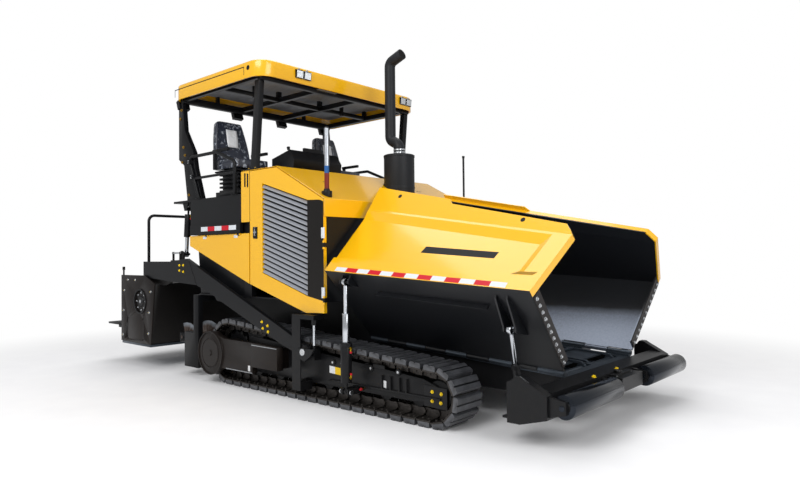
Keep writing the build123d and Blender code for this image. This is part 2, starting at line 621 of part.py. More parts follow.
def fold_seam(rear, front, inward):
    """The round inside of a fold between two panels that share an edge."""
    sunk = inward.normalized() * (WING_PLATE / 2)
    return bar(tuple(rear + sunk), tuple(front + sunk), WING_PLATE / 2)


def skin_inward(first, second, third):
    """Direction from a wing's outer skin into the hopper, square to one of its panels."""
    c = wing_corners()
    normal = (c[second] - c[first]).cross(c[third] - c[first]).normalized()
    return normal if normal.dot(HOPPER_INSIDE - c[first]) > 0 else normal * -1


def wing_skin():
    """Upper skin of the left wing: pressed side, steeper rim, and flanges at the front and top."""
    c = wing_corners()
    corners = [c["bend_rear"], c["bend_front"], c["bevel_front"], c["bevel_rear"]]
    side_in = skin_inward("bend_rear", "bend_front", "bevel_front")
    rim_in = skin_inward("bevel_rear", "bevel_front", "rim_front")
    rim_up = (c["rim_rear"] - c["bevel_rear"]).normalized()
    along = c["rim_front"] - c["rim_rear"]
    steps = [c["rim_rear"] + along * ((x - c["rim_rear"].X) / along.X) for x in RIM_STEP_XS]
    rim = panel([c["bevel_rear"], c["bevel_front"], c["rim_front"], steps[1], steps[0] + rim_up * RIM_RISE,
                 c["rim_rear"] + rim_up * RIM_RISE], HOPPER_INSIDE, WING_PLATE)
    bend_edge, front_edge, fold_edge = RECESS_EDGES
    mouth = inset(corners, (bend_edge, front_edge, fold_edge, 0.0))
    floor = inset(mouth, (*RECESS_SLOPES, 0.0))
    floor = [point + side_in * RECESS_DEPTH for point in floor]
    pocket = Solid.make_loft([Wire.make_polygon(mouth, close=True), Wire.make_polygon(floor, close=True)], ruled=True)
    back = (c["bend_rear"] - c["bend_front"]).normalized()
    cut = fuse(pocket, Pos(*(back * 5)) * pocket)
    side = panel(corners, HOPPER_INSIDE, WING_PLATE) + Pos(*(side_in * WING_PLATE)) * pocket - cut
    lower = panel([c["hinge_rear"], c["hinge_front"], c["bend_front"], c["bend_rear"]], HOPPER_INSIDE, WING_PLATE)
    fold = fold_seam(c["bevel_rear"], c["bevel_front"], side_in + rim_in)
    # Return flanges along the front edges and along the rim.
    deep = LINER_GAP + WING_PLATE
    front = panel([c["bend_front"], c["bevel_front"], c["bevel_front"] + side_in * deep,
                   c["bend_front"] + side_in * deep], c["bend_rear"], WING_PLATE)
    front += panel([c["bevel_front"], c["rim_front"], c["rim_front"] + rim_in * deep,
                    c["bevel_front"] + rim_in * deep], c["bend_rear"], WING_PLATE)
    top = panel([c["rim_rear"], c["rim_front"], c["rim_front"] + rim_in * LINER_GAP,
                 c["rim_rear"] + rim_in * LINER_GAP], c["bevel_rear"], WING_PLATE)
    return side + rim + fold + front + top - lower


def cylinder(foot, head, axis, tubes):
    """Telescoping pieces between two pins. A tube is (low share, high share, radius, bore)."""
    foot, head, axis = Vector(*foot), Vector(*head), Vector(*axis)
    run = head - foot
    along = run.normalized()
    pieces = []
    for low, high, radius, bore in tubes:
        start, end = foot + run * low, foot + run * high
        piece = bar(start, end, radius)
        if bore:
            piece -= bar(start + along * TUBE_BASE, end + along, bore)
        pieces.append(piece)
    pieces[0] += bar(foot, foot + run * tubes[0][0] + along, PIN_R)
    pieces[0] += bar(foot - axis * EYE_HALF, foot + axis * EYE_HALF, PIN_R + EYE_RING)
    pieces[0] -= bar(foot - axis * (EYE_HALF + 2), foot + axis * (EYE_HALF + 2), PIN_R + FOOT_FIT)
    last = tubes[-1]
    neck_end = head - along * (PIN_R + EYE_FREE + 2)
    pieces[-1] += bar(foot + run * (last[1] - 0.01), neck_end, last[2])
    pieces[-1] += bar(head - axis * EYE_HALF, head + axis * EYE_HALF, PIN_R + EYE_FREE + EYE_RING)
    pieces[-1] -= bar(head - axis * (EYE_HALF + 2), head + axis * (EYE_HALF + 2), PIN_R + EYE_FREE)
    return pieces


def pin(centre, axis, half):
    """A pin through a pair of lugs."""
    centre, axis = Vector(*centre), Vector(*axis)
    return bar(centre - axis * half, centre + axis * half, PIN_R)


def wing_cylinder():
    """Barrel, middle stage and rod of the left wing's cylinder."""
    return cylinder(WING_CYL_FOOT, WING_CYL_HEAD, WING_CYL_AXIS,
                    ((0.085, 0.443, 50.0, 31.3), (0.364, 0.709, 31.0, 19.3), (0.622, 0.95, 19.0, 0)))


def strut():
    """Barrel and rod of the left wing's front strut."""
    return cylinder(STRUT_FOOT, STRUT_HEAD, STRUT_AXIS, ((0.093, 0.545, 30.0, 17.3), (0.493, 0.93, 17.0, 0)))


def lift_cylinder():
    """Barrel and rod of the left lift cylinder, from the platform down to the tow arm."""
    return cylinder(LIFT_HEAD, LIFT_FOOT, (0, 1, 0), ((0.12, 0.62, 40.0, 22.3), (0.165, 0.93, 22.0, 0)))


def cylinder_foot():
    """Left bracket on the track frame for the foot of the wing cylinder."""
    x, y, z = WING_CYL_FOOT
    feet = block(x - FOOT_GAP - 18, x + FOOT_GAP + 18, FRAME_FACE_Y, FRAME_FACE_Y + 12, z - 36, z + 30)
    for offset in (-FOOT_GAP - 18, FOOT_GAP):
        feet += block(x + offset, x + offset + 18, FRAME_FACE_Y, y + 24, z - 26, z + 26)
    return feet + pin(WING_CYL_FOOT, WING_CYL_AXIS, FOOT_GAP + 12)


# ==========================================================================================
# Engine house
# ==========================================================================================
DECK_TOP = FRAME_TOP + DECK_THICK
DOOR_IN = HOUSE_HALF - DOOR_THICK


def hood_profile(inset):
    """Side profile of the hood's outside, moved inward."""
    fall = math.atan2(HOUSE_TOP_Z - HOOD_FRONT_Z, HOUSE_FRONT_X - HOOD_FOLD_X)
    drop = inset / math.cos(fall)
    shift = inset * math.tan(fall / 2)
    front_x = HOUSE_FRONT_X - inset
    return [(HOUSE_REAR_X, HOUSE_TOP_Z - inset), (HOOD_FOLD_X - shift, HOUSE_TOP_Z - inset),
            (front_x, HOOD_FRONT_Z - drop + inset * math.tan(fall))]


def hood():
    """Bent sheet over the engine: flat top, slope to the hopper and a front lip."""
    outer = hood_profile(0) + [(HOUSE_FRONT_X, HOOD_LIP_Z)]
    inner = [(HOUSE_FRONT_X - SHEET, HOOD_LIP_Z)] + hood_profile(SHEET)[::-1]
    shell = prism_xz(outer + inner, -HOUSE_HALF, HOUSE_HALF)
    hole = Pos(MUFFLER_X, MUFFLER_Y, HOUSE_TOP_Z) * Cylinder(MUFFLER_R + 8, 900)
    return shell - hole


def hood_under_z(x):
    """Height of the hood's underside at a station."""
    (x0, z0), (x1, z1), (x2, z2) = hood_profile(SHEET)
    if x <= x1:
        return z0
    return z1 + (z2 - z1) * (x - x1) / (x2 - x1)


DOOR_FRONT_X = HOUSE_FRONT_X - 14
DOOR_LOW = [(-252.0, 1097.0), (640.0, 842.0), (819.0, 851.0)]   # (x, z) along the lower edge
LOUVRE_REAR_X, LOUVRE_FRONT_X = -40.0, 668.0
LOUVRE_LOW_Z, LOUVRE_TOP_Z = 1215.0, 2138.0      # at the rear edge of the opening
LOUVRE_FALL = 216.0                              # fall of its edges to the front
SLAT_THICK = 5.0


HINGE_EYE_R, HINGE_BOLT_R = 11.0, 5.0
DOOR_HINGE_ZS = (972.0, 1487.0)
FLAP_HINGE_XS = (-1079.0, -459.0)
FLAP_HINGE_Z = 1624.0
EYE_LONG = 40.0             # fixed eye of a door or flap hinge
POCKET_R = 16.0             # pocket in the moving leaf round a fixed eye


def hinge_eyes(centre, axis):
    """Fixed eye with its pin, the two moving eyes, and the pocket that the fixed eye needs."""
    centre, axis = Vector(*centre), Vector(*axis)
    half = EYE_LONG / 2
    fixed = bar(centre - axis * half, centre + axis * half, HINGE_EYE_R)
    fixed += bar(centre - axis * (2 * half - 2), centre + axis * (2 * half - 2), HINGE_BOLT_R)
    moving = None
    for way in (1, -1):
        eye = bar(centre + axis * way * (half + CLEAR), centre + axis * way * 2 * half, HINGE_EYE_R)
        eye -= bar(centre, centre + axis * way * 3 * half, HINGE_BOLT_R + CLEAR)
        moving = eye if moving is None else moving + eye
    bore = bar(centre - axis * 2 * half, centre + axis * 2 * half, HINGE_BOLT_R + CLEAR)
    pocket = bar(centre - axis * (half + CLEAR), centre + axis * (half + CLEAR), POCKET_R)
    return fixed, moving, fuse(bore, pocket)


def door_hinges():
    """Eyes and pockets of the left door's two hinges, at its outer front edge."""
    return [hinge_eyes((DOOR_FRONT_X, HOUSE_HALF, z), (0, 0, 1)) for z in DOOR_HINGE_ZS]


def flap_hinges():
    """Eyes and pockets of the left flap's two hinges, at its outer top edge."""
    return [hinge_eyes((x, HOUSE_HALF, FLAP_HINGE_Z), (1, 0, 0)) for x in FLAP_HINGE_XS]


def louvre_door():
    """Left engine door: a frame with a slanted opening, hinged at its front edge."""
    top_gap = DOOR_GAP
    outline = [(DOOR_REAR_X, DOOR_LOW[0][1]), DOOR_LOW[1], DOOR_LOW[2], (DOOR_FRONT_X, DOOR_LOW[2][1]),
               (DOOR_FRONT_X, hood_under_z(DOOR_FRONT_X) - top_gap), (HOOD_FOLD_X, hood_under_z(HOOD_FOLD_X) - top_gap),
               (DOOR_REAR_X, hood_under_z(DOOR_REAR_X) - top_gap)]
    door = prism_xz(outline, DOOR_IN, HOUSE_HALF)
    opening = [(LOUVRE_REAR_X, LOUVRE_LOW_Z), (LOUVRE_FRONT_X, LOUVRE_LOW_Z - LOUVRE_FALL),
               (LOUVRE_FRONT_X, LOUVRE_TOP_Z - LOUVRE_FALL), (LOUVRE_REAR_X, LOUVRE_TOP_Z)]
    door -= prism_xz(opening, DOOR_IN - 1, HOUSE_HALF + 1)
    for fixed, moving, pocket in door_hinges():
        door = door - pocket + moving
    return door


def louvre_slats():
    """Slanting blades in the left door's opening."""
    pitch = (LOUVRE_TOP_Z - LOUVRE_LOW_Z) / SLAT_COUNT
    blades = []
    for i in range(SLAT_COUNT):
        z = LOUVRE_LOW_Z + i * pitch + 6
        section = [(HOUSE_HALF - 4, z), (HOUSE_HALF - 4, z + SLAT_THICK), (DOOR_IN + 4, z + pitch * 0.72 + SLAT_THICK),
                   (DOOR_IN + 4, z + pitch * 0.72)]
        face = Face(Wire.make_polygon([(LOUVRE_REAR_X, y, h) for y, h in section], close=True))
        blades.append(Solid.extrude(face, Vector(LOUVRE_FRONT_X - LOUVRE_REAR_X, 0, -LOUVRE_FALL)))
    return blades


def house_frame():
    """Deck over the tracks, corner pillars, bulkhead and the wall behind the engine."""
    deck = block(FRAME_REAR, HOUSE_FRONT_X - SHEET, -DECK_HALF, DECK_HALF, FRAME_TOP, DECK_TOP)
    front = block(HOUSE_FRONT_X - SHEET - 12, HOUSE_FRONT_X - SHEET, -DECK_HALF, DECK_HALF, DECK_TOP,
                  HOOD_FRONT_Z - 20)
    rear_wall = block(HOUSE_REAR_X, HOUSE_REAR_X + 12, -DECK_HALF, DECK_HALF, DECK_TOP, HOUSE_TOP_Z - SHEET)
    body = deck + front + rear_wall
    for side in (1, -1):
        low, high = sorted((side * DOOR_IN, side * HOUSE_HALF))
        body += block(HOUSE_REAR_X, DOOR_REAR_X - DOOR_GAP, low, high, STRIP_TOP_Z, HOUSE_TOP_Z - SHEET)
        low, high = sorted((side * (DECK_HALF - 60), side * DOOR_IN))
        body += block(HOUSE_REAR_X, DOOR_REAR_X - DOOR_GAP - 20, low, high, DECK_TOP, HOUSE_TOP_Z - SHEET)
        # Fixed eyes of the door's hinges, on lugs from the bulkhead.
        for z, eyes in zip(DOOR_HINGE_ZS, door_hinges()):
            lug = block(HOUSE_FRONT_X - SHEET - 1, HOUSE_FRONT_X, DECK_HALF - 20, HOUSE_HALF + 4, z - EYE_LONG / 2,
                        z + EYE_LONG / 2)
            eye = fuse(lug, eyes[0])
            body += eye if side > 0 else mirror(eye, about=Plane.XZ)
    return body


def flap():
    """Left side flap under the platform, hinged along its top edge."""
    outline = [(BOX_REAR_X - 14, 1515), (-270, DOOR_LOW[0][1] + 4), (-270, STRIP_LOW_Z - 7),
               (BOX_REAR_X - 14, STRIP_LOW_Z - 7)]
    leaf = prism_xz(outline, HOUSE_HALF - FLAP_THICK, HOUSE_HALF)
    for fixed, moving, pocket in flap_hinges():
        leaf = leaf - pocket + moving
    return leaf


# ==========================================================================================
# Operator platform
# ==========================================================================================
def platform():
    """Floor plate with its side boxes, the marker strips and the tank housing below."""
    floor = block(PLATFORM_REAR_X, HOUSE_REAR_X, -HOUSE_HALF, HOUSE_HALF, FLOOR_Z - 24, FLOOR_Z)
    body = floor
    for side in (1, -1):
        low, high = sorted((side * (HOUSE_HALF - 24), side * HOUSE_HALF))
        body += block(BOX_REAR_X, HOUSE_REAR_X, low, high, STRIP_LOW_Z, FLOOR_Z)
        low, high = sorted((side * (HOUSE_HALF - 24), side * (HOUSE_HALF + 20)))
        body += block(BOX_REAR_X + 21, HOUSE_REAR_X, low, high, STRIP_LOW_Z, STRIP_TOP_Z)
        for x, eyes in zip(FLAP_HINGE_XS, flap_hinges()):
            lug = block(x - EYE_LONG / 2, x + EYE_LONG / 2, HOUSE_HALF - 6, HOUSE_HALF + 6, FLAP_HINGE_Z, STRIP_LOW_Z + 5)
            eye = fuse(lug, eyes[0])
            body += eye if side > 0 else mirror(eye, about=Plane.XZ)
        x, y, z = LIFT_HEAD
        for offset in (-FOOT_GAP - 16, FOOT_GAP):
            low, high = sorted((side * (y + offset), side * (y + offset + 16)))
            body += prism_xz([(x - 60, FLOOR_Z - 24), (x - 24, z - 24), (x + 24, z - 24), (x + 60, FLOOR_Z - 24)],
                             low, high)
        body += pin((x, side * y, z), (0, 1, 0), FOOT_GAP + 12)
    body += block(BOX_REAR_X, BOX_REAR_X + 20, -HOUSE_HALF, HOUSE_HALF, STRIP_LOW_Z, FLOOR_Z)
    return body


def tanks():
    """Closed housing of the tanks and pumps between the side flaps."""
    profile = [(FRAME_REAR, DECK_TOP), (HOUSE_REAR_X - 5, DECK_TOP), (HOUSE_REAR_X - 5, FLOOR_Z - 24),
               (FRAME_REAR - 60, FLOOR_Z - 24), (FRAME_REAR - 60, 1560)]
    return prism_xz(profile, -(HOUSE_HALF - 60), HOUSE_HALF - 60)


SEAT_X, SEAT_Y, SEAT_Z = -1050.0, HOUSE_HALF - 442, 2440.0


def seat_base():
    """Left seat's plinth and bellows."""
    base = block(SEAT_X - 220, SEAT_X + 220, SEAT_Y - 200, SEAT_Y + 200, FLOOR_Z, FLOOR_Z + 90)
    for i in range(5):
        z = FLOOR_Z + 90 + i * 48
        base += block(SEAT_X - 190, SEAT_X + 190, SEAT_Y - 170, SEAT_Y + 170, z, z + 24)
        base += block(SEAT_X - 160, SEAT_X + 160, SEAT_Y - 145, SEAT_Y + 145, z + 24, z + 48)
    return base


def seat():
    """Left seat: cushion and leaning backrest."""
    low = SEAT_Z - 56
    cushion = block(SEAT_X - 230, SEAT_X + 260, SEAT_Y - 250, SEAT_Y + 250, low + CLEAR, SEAT_Z + 90)
    back = prism_xz([(SEAT_X - 230, low + 40), (SEAT_X - 120, SEAT_Z + 90), (SEAT_X - 220, SEAT_Z + 600),
                     (SEAT_X - 330, SEAT_Z + 600), (SEAT_X - 330, SEAT_Z + 100)], SEAT_Y - 250, SEAT_Y + 250)
    return cushion + back


def console():
    """Desk between the seats with its control box."""
    foot = block(-760, -520, -300, 300, FLOOR_Z, 2420)
    desk = prism_xz([(-900, 2400), (-500, 2400), (-480, 2520), (-560, 2640), (-900, 2560)], -430, 330)
    return foot + desk


# ==========================================================================================
# Canopy
# ==========================================================================================
def canopy_plan(inset, z0, z1):
    """The canopy's plan, with rounded front and rear corners."""
    box = block(CANOPY_REAR_X + inset, CANOPY_FRONT_X - inset, -CANOPY_HALF + inset, CANOPY_HALF - inset, z0, z1)
    radius = CANOPY_CORNER_R - inset
    return fillet(box.edges().filter_by(Axis.Z), radius)


def canopy_roof():
    """Moulded roof, open below."""
    wall = 20.0
    outer = canopy_plan(0, CANOPY_LOW_Z, CANOPY_TOP_Z)
    outer = fillet(outer.faces().sort_by(Axis.Z)[-1].edges(), 28)
    return outer - canopy_plan(wall, CANOPY_LOW_Z - 1, CANOPY_TOP_Z - wall)


BEAM = 60.0


def canopy_frame():
    """Welded beams that carry the roof."""
    x0, x1 = CANOPY_REAR_X + 40, CANOPY_FRONT_X - 40
    z0, z1 = CANOPY_LOW_Z - 27, CANOPY_TOP_Z - 20 - CLEAR
    body = None
    for x in (x0 + 40, x1 - 100):
        beam = block(x, x + BEAM, -POST_Y - 25, POST_Y + 25, z0, z0 + 80)
        body = beam if body is None else body + beam
    for y in (-POST_Y, -330, 330, POST_Y):
        body += block(x0 + 40, x1 - 40, y - 25, y + 25, z0 + 20, z0 + 80)
    for x in (x0 + 60, (x0 + x1) / 2, x1 - 90):
        for y in (-700, 700):
            body += block(x, x + 40, y - 20, y + 20, z0 + 20, z1)
    for y in (-POST_Y, -330, 330, POST_Y):
        body += block((x0 + x1) / 2 - 25, (x0 + x1) / 2 + 25, y - 25, y + 25, z0 + 20, z1)
    body += block((x0 + x1) / 2 - 25, (x0 + x1) / 2 + 25, -POST_Y, POST_Y, z0 + 30, z0 + 80)
    for x in (x0 + 60, x1 - 90):
        body += block(x, x + 40, -POST_Y, POST_Y, z0 + 30, z0 + 80)
    return body


FRONT_POST = ((-238.0, -150.0), 70.0)      # x at the foot and at the top, and its width


def canopy_posts():
    """Four posts; the rear ones are folding plates."""
    z1 = CANOPY_LOW_Z - 27
    (foot_x, top_x), width = FRONT_POST
    front = prism_xz([(foot_x - width / 2, HOUSE_TOP_Z), (foot_x + width / 2, HOUSE_TOP_Z),
                      (top_x + width / 2, z1), (top_x - width / 2, z1)], POST_Y - 35, POST_Y + 35)
    front += block(foot_x - 80, foot_x + 80, POST_Y - 55, POST_Y + 55, HOUSE_TOP_Z, HOUSE_TOP_Z + 14)
    rear = prism_xz([(-1725, z1), (-1725, 2560), (-1610, 2480), (-1540, 2080), (-1540, FLOOR_Z), (-1230, FLOOR_Z),
                     (-1370, 2430), (-1410, 2620), (-1600, 2900), (-1640, z1)], POST_Y - 30, POST_Y + 30)
    return *left_and_right(front), *left_and_right(rear)


RAIL_R = 19.0


def pipe_path(points, bend, radius):
    """A bent pipe through the points."""
    path = FilletPolyline(*points, radius=bend)
    start = path @ 0
    direction = path % 0
    return sweep(Plane(origin=start, z_dir=direction) * Circle(radius), path=path)


def handrail():
    """Left side rail of the platform, clamped to the outside of the rear post."""
    y = POST_Y + 30 + RAIL_R + CLEAR
    front_x = -535.0
    rail = pipe_path([(-1238, y, FLOOR_Z - 30), (-1466, y, 2558), (-880, y, 2558), (front_x, y, 2420),
                      (front_x, y, FLOOR_Z - 30)], 60, RAIL_R)
    rail += bar((-1350, y, 2300), (front_x, y, 2300), RAIL_R * 0.8)
    return rail - block(-1600, 0, y - 100, y + 100, FLOOR_Z - 200, FLOOR_Z + CLEAR)


# ==========================================================================================
# Exhaust, engine and posts on the hood
# ==========================================================================================
def muffler():
    """Muffler drum, standing on the engine."""
    top = fillet((Pos(MUFFLER_X, MUFFLER_Y, (ENGINE_TOP_Z + MUFFLER_TOP_Z) / 2)
                  * Cylinder(MUFFLER_R, MUFFLER_TOP_Z - ENGINE_TOP_Z)).edges().sort_by(Axis.Z)[-1], 14)
    return top


ENGINE_TOP_Z = 1700.0


def exhaust_pipe():
    """Exhaust pipe: elbow out of the drum, long riser and turned outlet."""
    x, y = MUFFLER_X, MUFFLER_Y
    back = x - 130
    path = [(x, y, MUFFLER_TOP_Z), (x, y, MUFFLER_TOP_Z + 120), (back, y, MUFFLER_TOP_Z + 190),
            (back, y, PIPE_TOP_Z - 130), (back + 190, y, PIPE_TOP_Z - PIPE_R)]
    return pipe_path(path, 75, PIPE_R)


def engine():
    """Engine and its radiator, as one plain block."""
    return block(-150, 740, -430, 480, DECK_TOP, ENGINE_TOP_Z)


def hood_posts():
    """Position markers on the hood's front corners: a striped tube and a thin rod."""
    posts = []
    x, y = 835.0, HOUSE_HALF - 102
    under = prism_xz([(x - 200, 1500)] + [(px, pz + CLEAR) for px, pz in hood_profile(0)]
                     + [(HOUSE_FRONT_X, 1500)], -HOUSE_HALF, HOUSE_HALF)
    for side, top_z, radius, foot_r in ((-1, 2610.0, 22.0, 50.0), (1, 2560.0, 12.0, 40.0)):
        post = bar((x, side * y, 1900), (x, side * y, top_z), radius) + bar(
            (x, side * y, 1900), (x, side * y, 2000), foot_r)
        posts.append(post - under)
    return posts


# ==========================================================================================
# Screed and auger
# ==========================================================================================
def tow_arm():
    """Left tow arm: a long plate beam from the tow point to the screed."""
    eye_r = 62.0
    outline = [(-2448, 1334), (-1800, 1334), (-1427, 1368), (403, 656), (TOW_X, TOW_Z + eye_r - 4),
               (TOW_X, TOW_Z - eye_r + 4), (333, 522), (-705, 898), (-790, 905), (-830, 950), (-1207, 1066),
               (-1795, 1096), (-2448, 1139)]
    arm = prism_xz(outline, ARM_IN_Y, ARM_OUT_Y) + disc_y(TOW_X, TOW_Z, eye_r, ARM_IN_Y, ARM_OUT_Y)
    return arm - disc_y(TOW_X, TOW_Z, 32.2, ARM_IN_Y - 1, ARM_OUT_Y + 1)


COLUMN_XS = (515.0, 638.0)               # outer column that guides the tow point
SHELF_END_X, SHELF_TOP_Z, SHELF_THICK = 830.0, 832.0, 42.0
LEVEL_ROD = (800.0, ARM_OUT_Y - 20, 13.0)      # levelling rod: x, y and radius


def tow_bracket():
    """Left tow point: a column and shelf beside the track, the levelling plate and rod, and the pin."""
    x0, x1 = COLUMN_XS
    column_in, column_out, plate_out = ARM_OUT_Y + 5, ARM_OUT_Y + 15, ARM_OUT_Y + 28
    hang_in = DECK_HALF - 22
    column = block(x0, x1, column_in, column_out, 110, SHELF_TOP_Z)
    foot = block(x0, x1, FRAME_FACE_Y, column_out, 110, 190)
    shelf = block(x0, SHELF_END_X, hang_in, column_out, SHELF_TOP_Z - SHELF_THICK, SHELF_TOP_Z)
    hanger = block(x0, SHELF_END_X, hang_in, DECK_HALF, SHELF_TOP_Z - SHELF_THICK, FRAME_TOP)
    boss = block(TOW_X - 60, TOW_X + 80, FRAME_FACE_Y, ARM_IN_Y - 6, TOW_Z - 80, TOW_Z + 40)
    plate = prism_xz([(x1 - 35, TOW_Z + 32), (845, TOW_Z + 38), (795, TOW_Z - 28), (708, TOW_Z - 86),
                      (x1 - 35, TOW_Z - 50)], column_out - 4, plate_out)
    x, y, radius = LEVEL_ROD
    lug = block(x - 20, x + 20, y - 20, column_out, TOW_Z, TOW_Z + 36)
    rod = bar((x, y, TOW_Z + 20), (x, y, SHELF_TOP_Z - 10), radius)
    pin = disc_y(TOW_X, TOW_Z, 32, FRAME_FACE_Y, SCREED_HALF)
    return fuse(column, foot, shelf, hanger, boss, plate, lug, rod, pin)


def bolt_holes():
    """Four blind holes in the left end of the screed, for a bolted extension."""
    x, z = BOLT_CENTRE
    holes = [disc_y(x + dx * BOLT_SPACING[0] / 2, z + dz * BOLT_SPACING[1] / 2, BOLT_HOLE_R,
                    SCREED_HALF - BOLT_DEPTH, SCREED_HALF + 1) for dx in (1, -1) for dz in (1, -1)]
    return holes


def screed_box():
    """Screed: a cross box with a leaning front plate, a top plate and a tail step."""
    profile = [(SCREED_FRONT_X, SCREED_TOP_Z), (SCREED_FRONT_X - 95, SCREED_LOW_Z + 40),
               (SCREED_REAR_X + 200, SCREED_LOW_Z + 40), (SCREED_REAR_X + 60, SCREED_TOP_Z + 50),
               (SCREED_FRONT_X - 250, SCREED_TOP_Z + 50)]
    half = SCREED_HALF - SCREED_END
    hollow = inset([Vector(x, 0, z) for x, z in profile], [SCREED_WALL] * len(profile))
    box = prism_xz(profile, -half, half) - prism_xz([(point.X, point.Z) for point in hollow],
                                                    -half + SCREED_WALL, half - SCREED_WALL)
    box = box - bolt_holes() - [mirror(hole, about=Plane.XZ) for hole in bolt_holes()]
    for side in (1, -1):
        low, high = sorted((side * (ARM_IN_Y - 22), side * (ARM_IN_Y - CLEAR)))
        box += prism_xz([(-2440, 1040), (-2440, 1300), (-1800, 1300), (-1430, 1330), (-1430, 1190), (-2000, 1040)],
                        low, high)
        # Lug of the lift cylinder.
        x, y, z = LIFT_FOOT
        low, high = sorted((side * (y + LUG_GAP), side * (ARM_IN_Y - CLEAR)))
        box += prism_xz([(x - 50, 1200), (x - 40, z + 20), (x, z + 40), (x + 40, z + 20), (x + 50, 1200)], low, high)
        low, high = sorted((side * (y - LUG_GAP), side * (ARM_IN_Y - CLEAR)))
        box += disc_y(x, z, PIN_R, low, high)
    return box


END_PORT = (-2479.0, 830.0, 140.0)      # round port in an end plate: x, z and radius


def screed_ends():
    """End plates of the screed."""
    outline = [(SCREED_FRONT_X, SCREED_TOP_Z), (SCREED_FRONT_X - 95, SCREED_LOW_Z + 30),
               (SCREED_REAR_X, SCREED_LOW_Z + 30), (SCREED_REAR_X, 1160), (SCREED_FRONT_X - 250, 1160)]
    x, z, radius = END_PORT
    port = disc_y(x, z, radius, SCREED_HALF - SCREED_END - 1, SCREED_HALF + 1)
    return prism_xz(outline, SCREED_HALF - SCREED_END, SCREED_HALF) - bolt_holes() - port


def screed_sole():
    """Sole plate that irons the mat."""
    return block(SCREED_REAR_X + 30, SCREED_FRONT_X - 95, -SCREED_HALF, SCREED_HALF, SCREED_LOW_Z,
                 SCREED_LOW_Z + 30)


def screed_step():
    """Tail step across the back of the screed."""
    step = block(REAR_X, SCREED_REAR_X, -SCREED_HALF, SCREED_HALF, 500, 524)
    for y in (120 - SCREED_HALF, -400, 400, SCREED_HALF - 140):
        step += block(REAR_X + 40, SCREED_REAR_X, y, y + 20, 440, 500)
    return step


def screed_rail():
    """Rail of the screed's walkway."""
    x, half, foot = SCREED_REAR_X + 90, SCREED_HALF - 335, SCREED_TOP_Z + 50 + CLEAR
    points = [(x, -half, foot), (x, -half, 1954), (x, half, 1954), (x, half, foot)]
    return pipe_path(points, 80, RAIL_R)


AUGER_SHAFT_R = 38.0
JOURNAL_R = 20.0            # ends of an auger's shaft
JOURNAL_IN_Y = 20.0         # inner end of a journal, in the gear case
HANGER_Y = ARM_IN_Y - 97    # inside face of the outer bearing plates
HANGER_THICK = 12.0
FLIGHT_THICK, FLIGHT_ROOT = 10.0, 8.0    # blade, and its depth in the shaft
FLIGHT_STEPS = 20           # facets for each turn of the blade


def facet(*points):
    """A flat face between corner points."""
    return Face(Wire.make_polygon(points, close=True))


def flight(y_start, y_end):
    """Helical blade round the auger's axis, in flat facets."""
    count = round((y_end - y_start) / AUGER_PITCH * FLIGHT_STEPS)
    rails = []
    for step in range(count + 1):
        angle = 2 * math.pi * step / FLIGHT_STEPS
        y = y_start + (y_end - y_start - FLIGHT_THICK) * step / count
        out = Vector(math.cos(angle), 0, math.sin(angle))
        inner = Vector(AUGER_X, y, AUGER_Z) + out * (AUGER_SHAFT_R - FLIGHT_ROOT)
        outer = Vector(AUGER_X, y, AUGER_Z) + out * AUGER_R
        rails.append((inner, outer, outer + Vector(0, FLIGHT_THICK, 0), inner + Vector(0, FLIGHT_THICK, 0)))
    faces = [facet(*rails[0]), facet(*rails[-1])]
    for this, that in zip(rails, rails[1:]):
        faces += [facet(this[0], this[1], that[0]), facet(this[1], that[1], that[0]),
                  facet(this[3], this[2], that[3]), facet(this[2], that[2], that[3]),
                  facet(this[1], this[2], that[2], that[1]), facet(this[0], this[3], that[3], that[0])]
    return Solid(Shell(faces))


def auger():
    """Left auger: a shaft with a helical flight that carries the mix outward."""
    y_in, y_out = 66.0, HANGER_Y - 5
    journal = disc_y(AUGER_X, AUGER_Z, JOURNAL_R, JOURNAL_IN_Y, HANGER_Y + HANGER_THICK)
    return disc_y(AUGER_X, AUGER_Z, AUGER_SHAFT_R, y_in, y_out) + flight(y_in + 35, y_out - 35) + journal


def auger_hangers():
    """Gear case in the middle, cross-beam and the guide posts with their end plates."""
    case = prism_xz([(FRAME_REAR, 560), (FRAME_REAR, 945), (-1400, 945), (AUGER_X - 60, 560), (AUGER_X - 90, AUGER_Z),
                     (AUGER_X - 60, AUGER_Z - 90), (AUGER_X + 60, AUGER_Z - 90)], -60, 60)
    beam = block(-1400, FRAME_REAR, -1190, 1190, 870, 945)
    body = case + beam
    for side in (1, -1):
        low, high = sorted((side * 1130, side * 1190))
        body += block(-1400, FRAME_REAR, low, high, 505, 945)
        body += block(-1600, FRAME_REAR, low, high, 100, 505)
        low, high = sorted((side * HANGER_Y, side * (HANGER_Y + HANGER_THICK)))
        body += prism_xz([(-1600, 360), (-1600, 480), (AUGER_X - 40, 480), (AUGER_X - 40, 360)], low, high)
    reach = HANGER_Y + HANGER_THICK + 1
    return body - disc_y(AUGER_X, AUGER_Z, JOURNAL_R + CLEAR, -reach, reach)


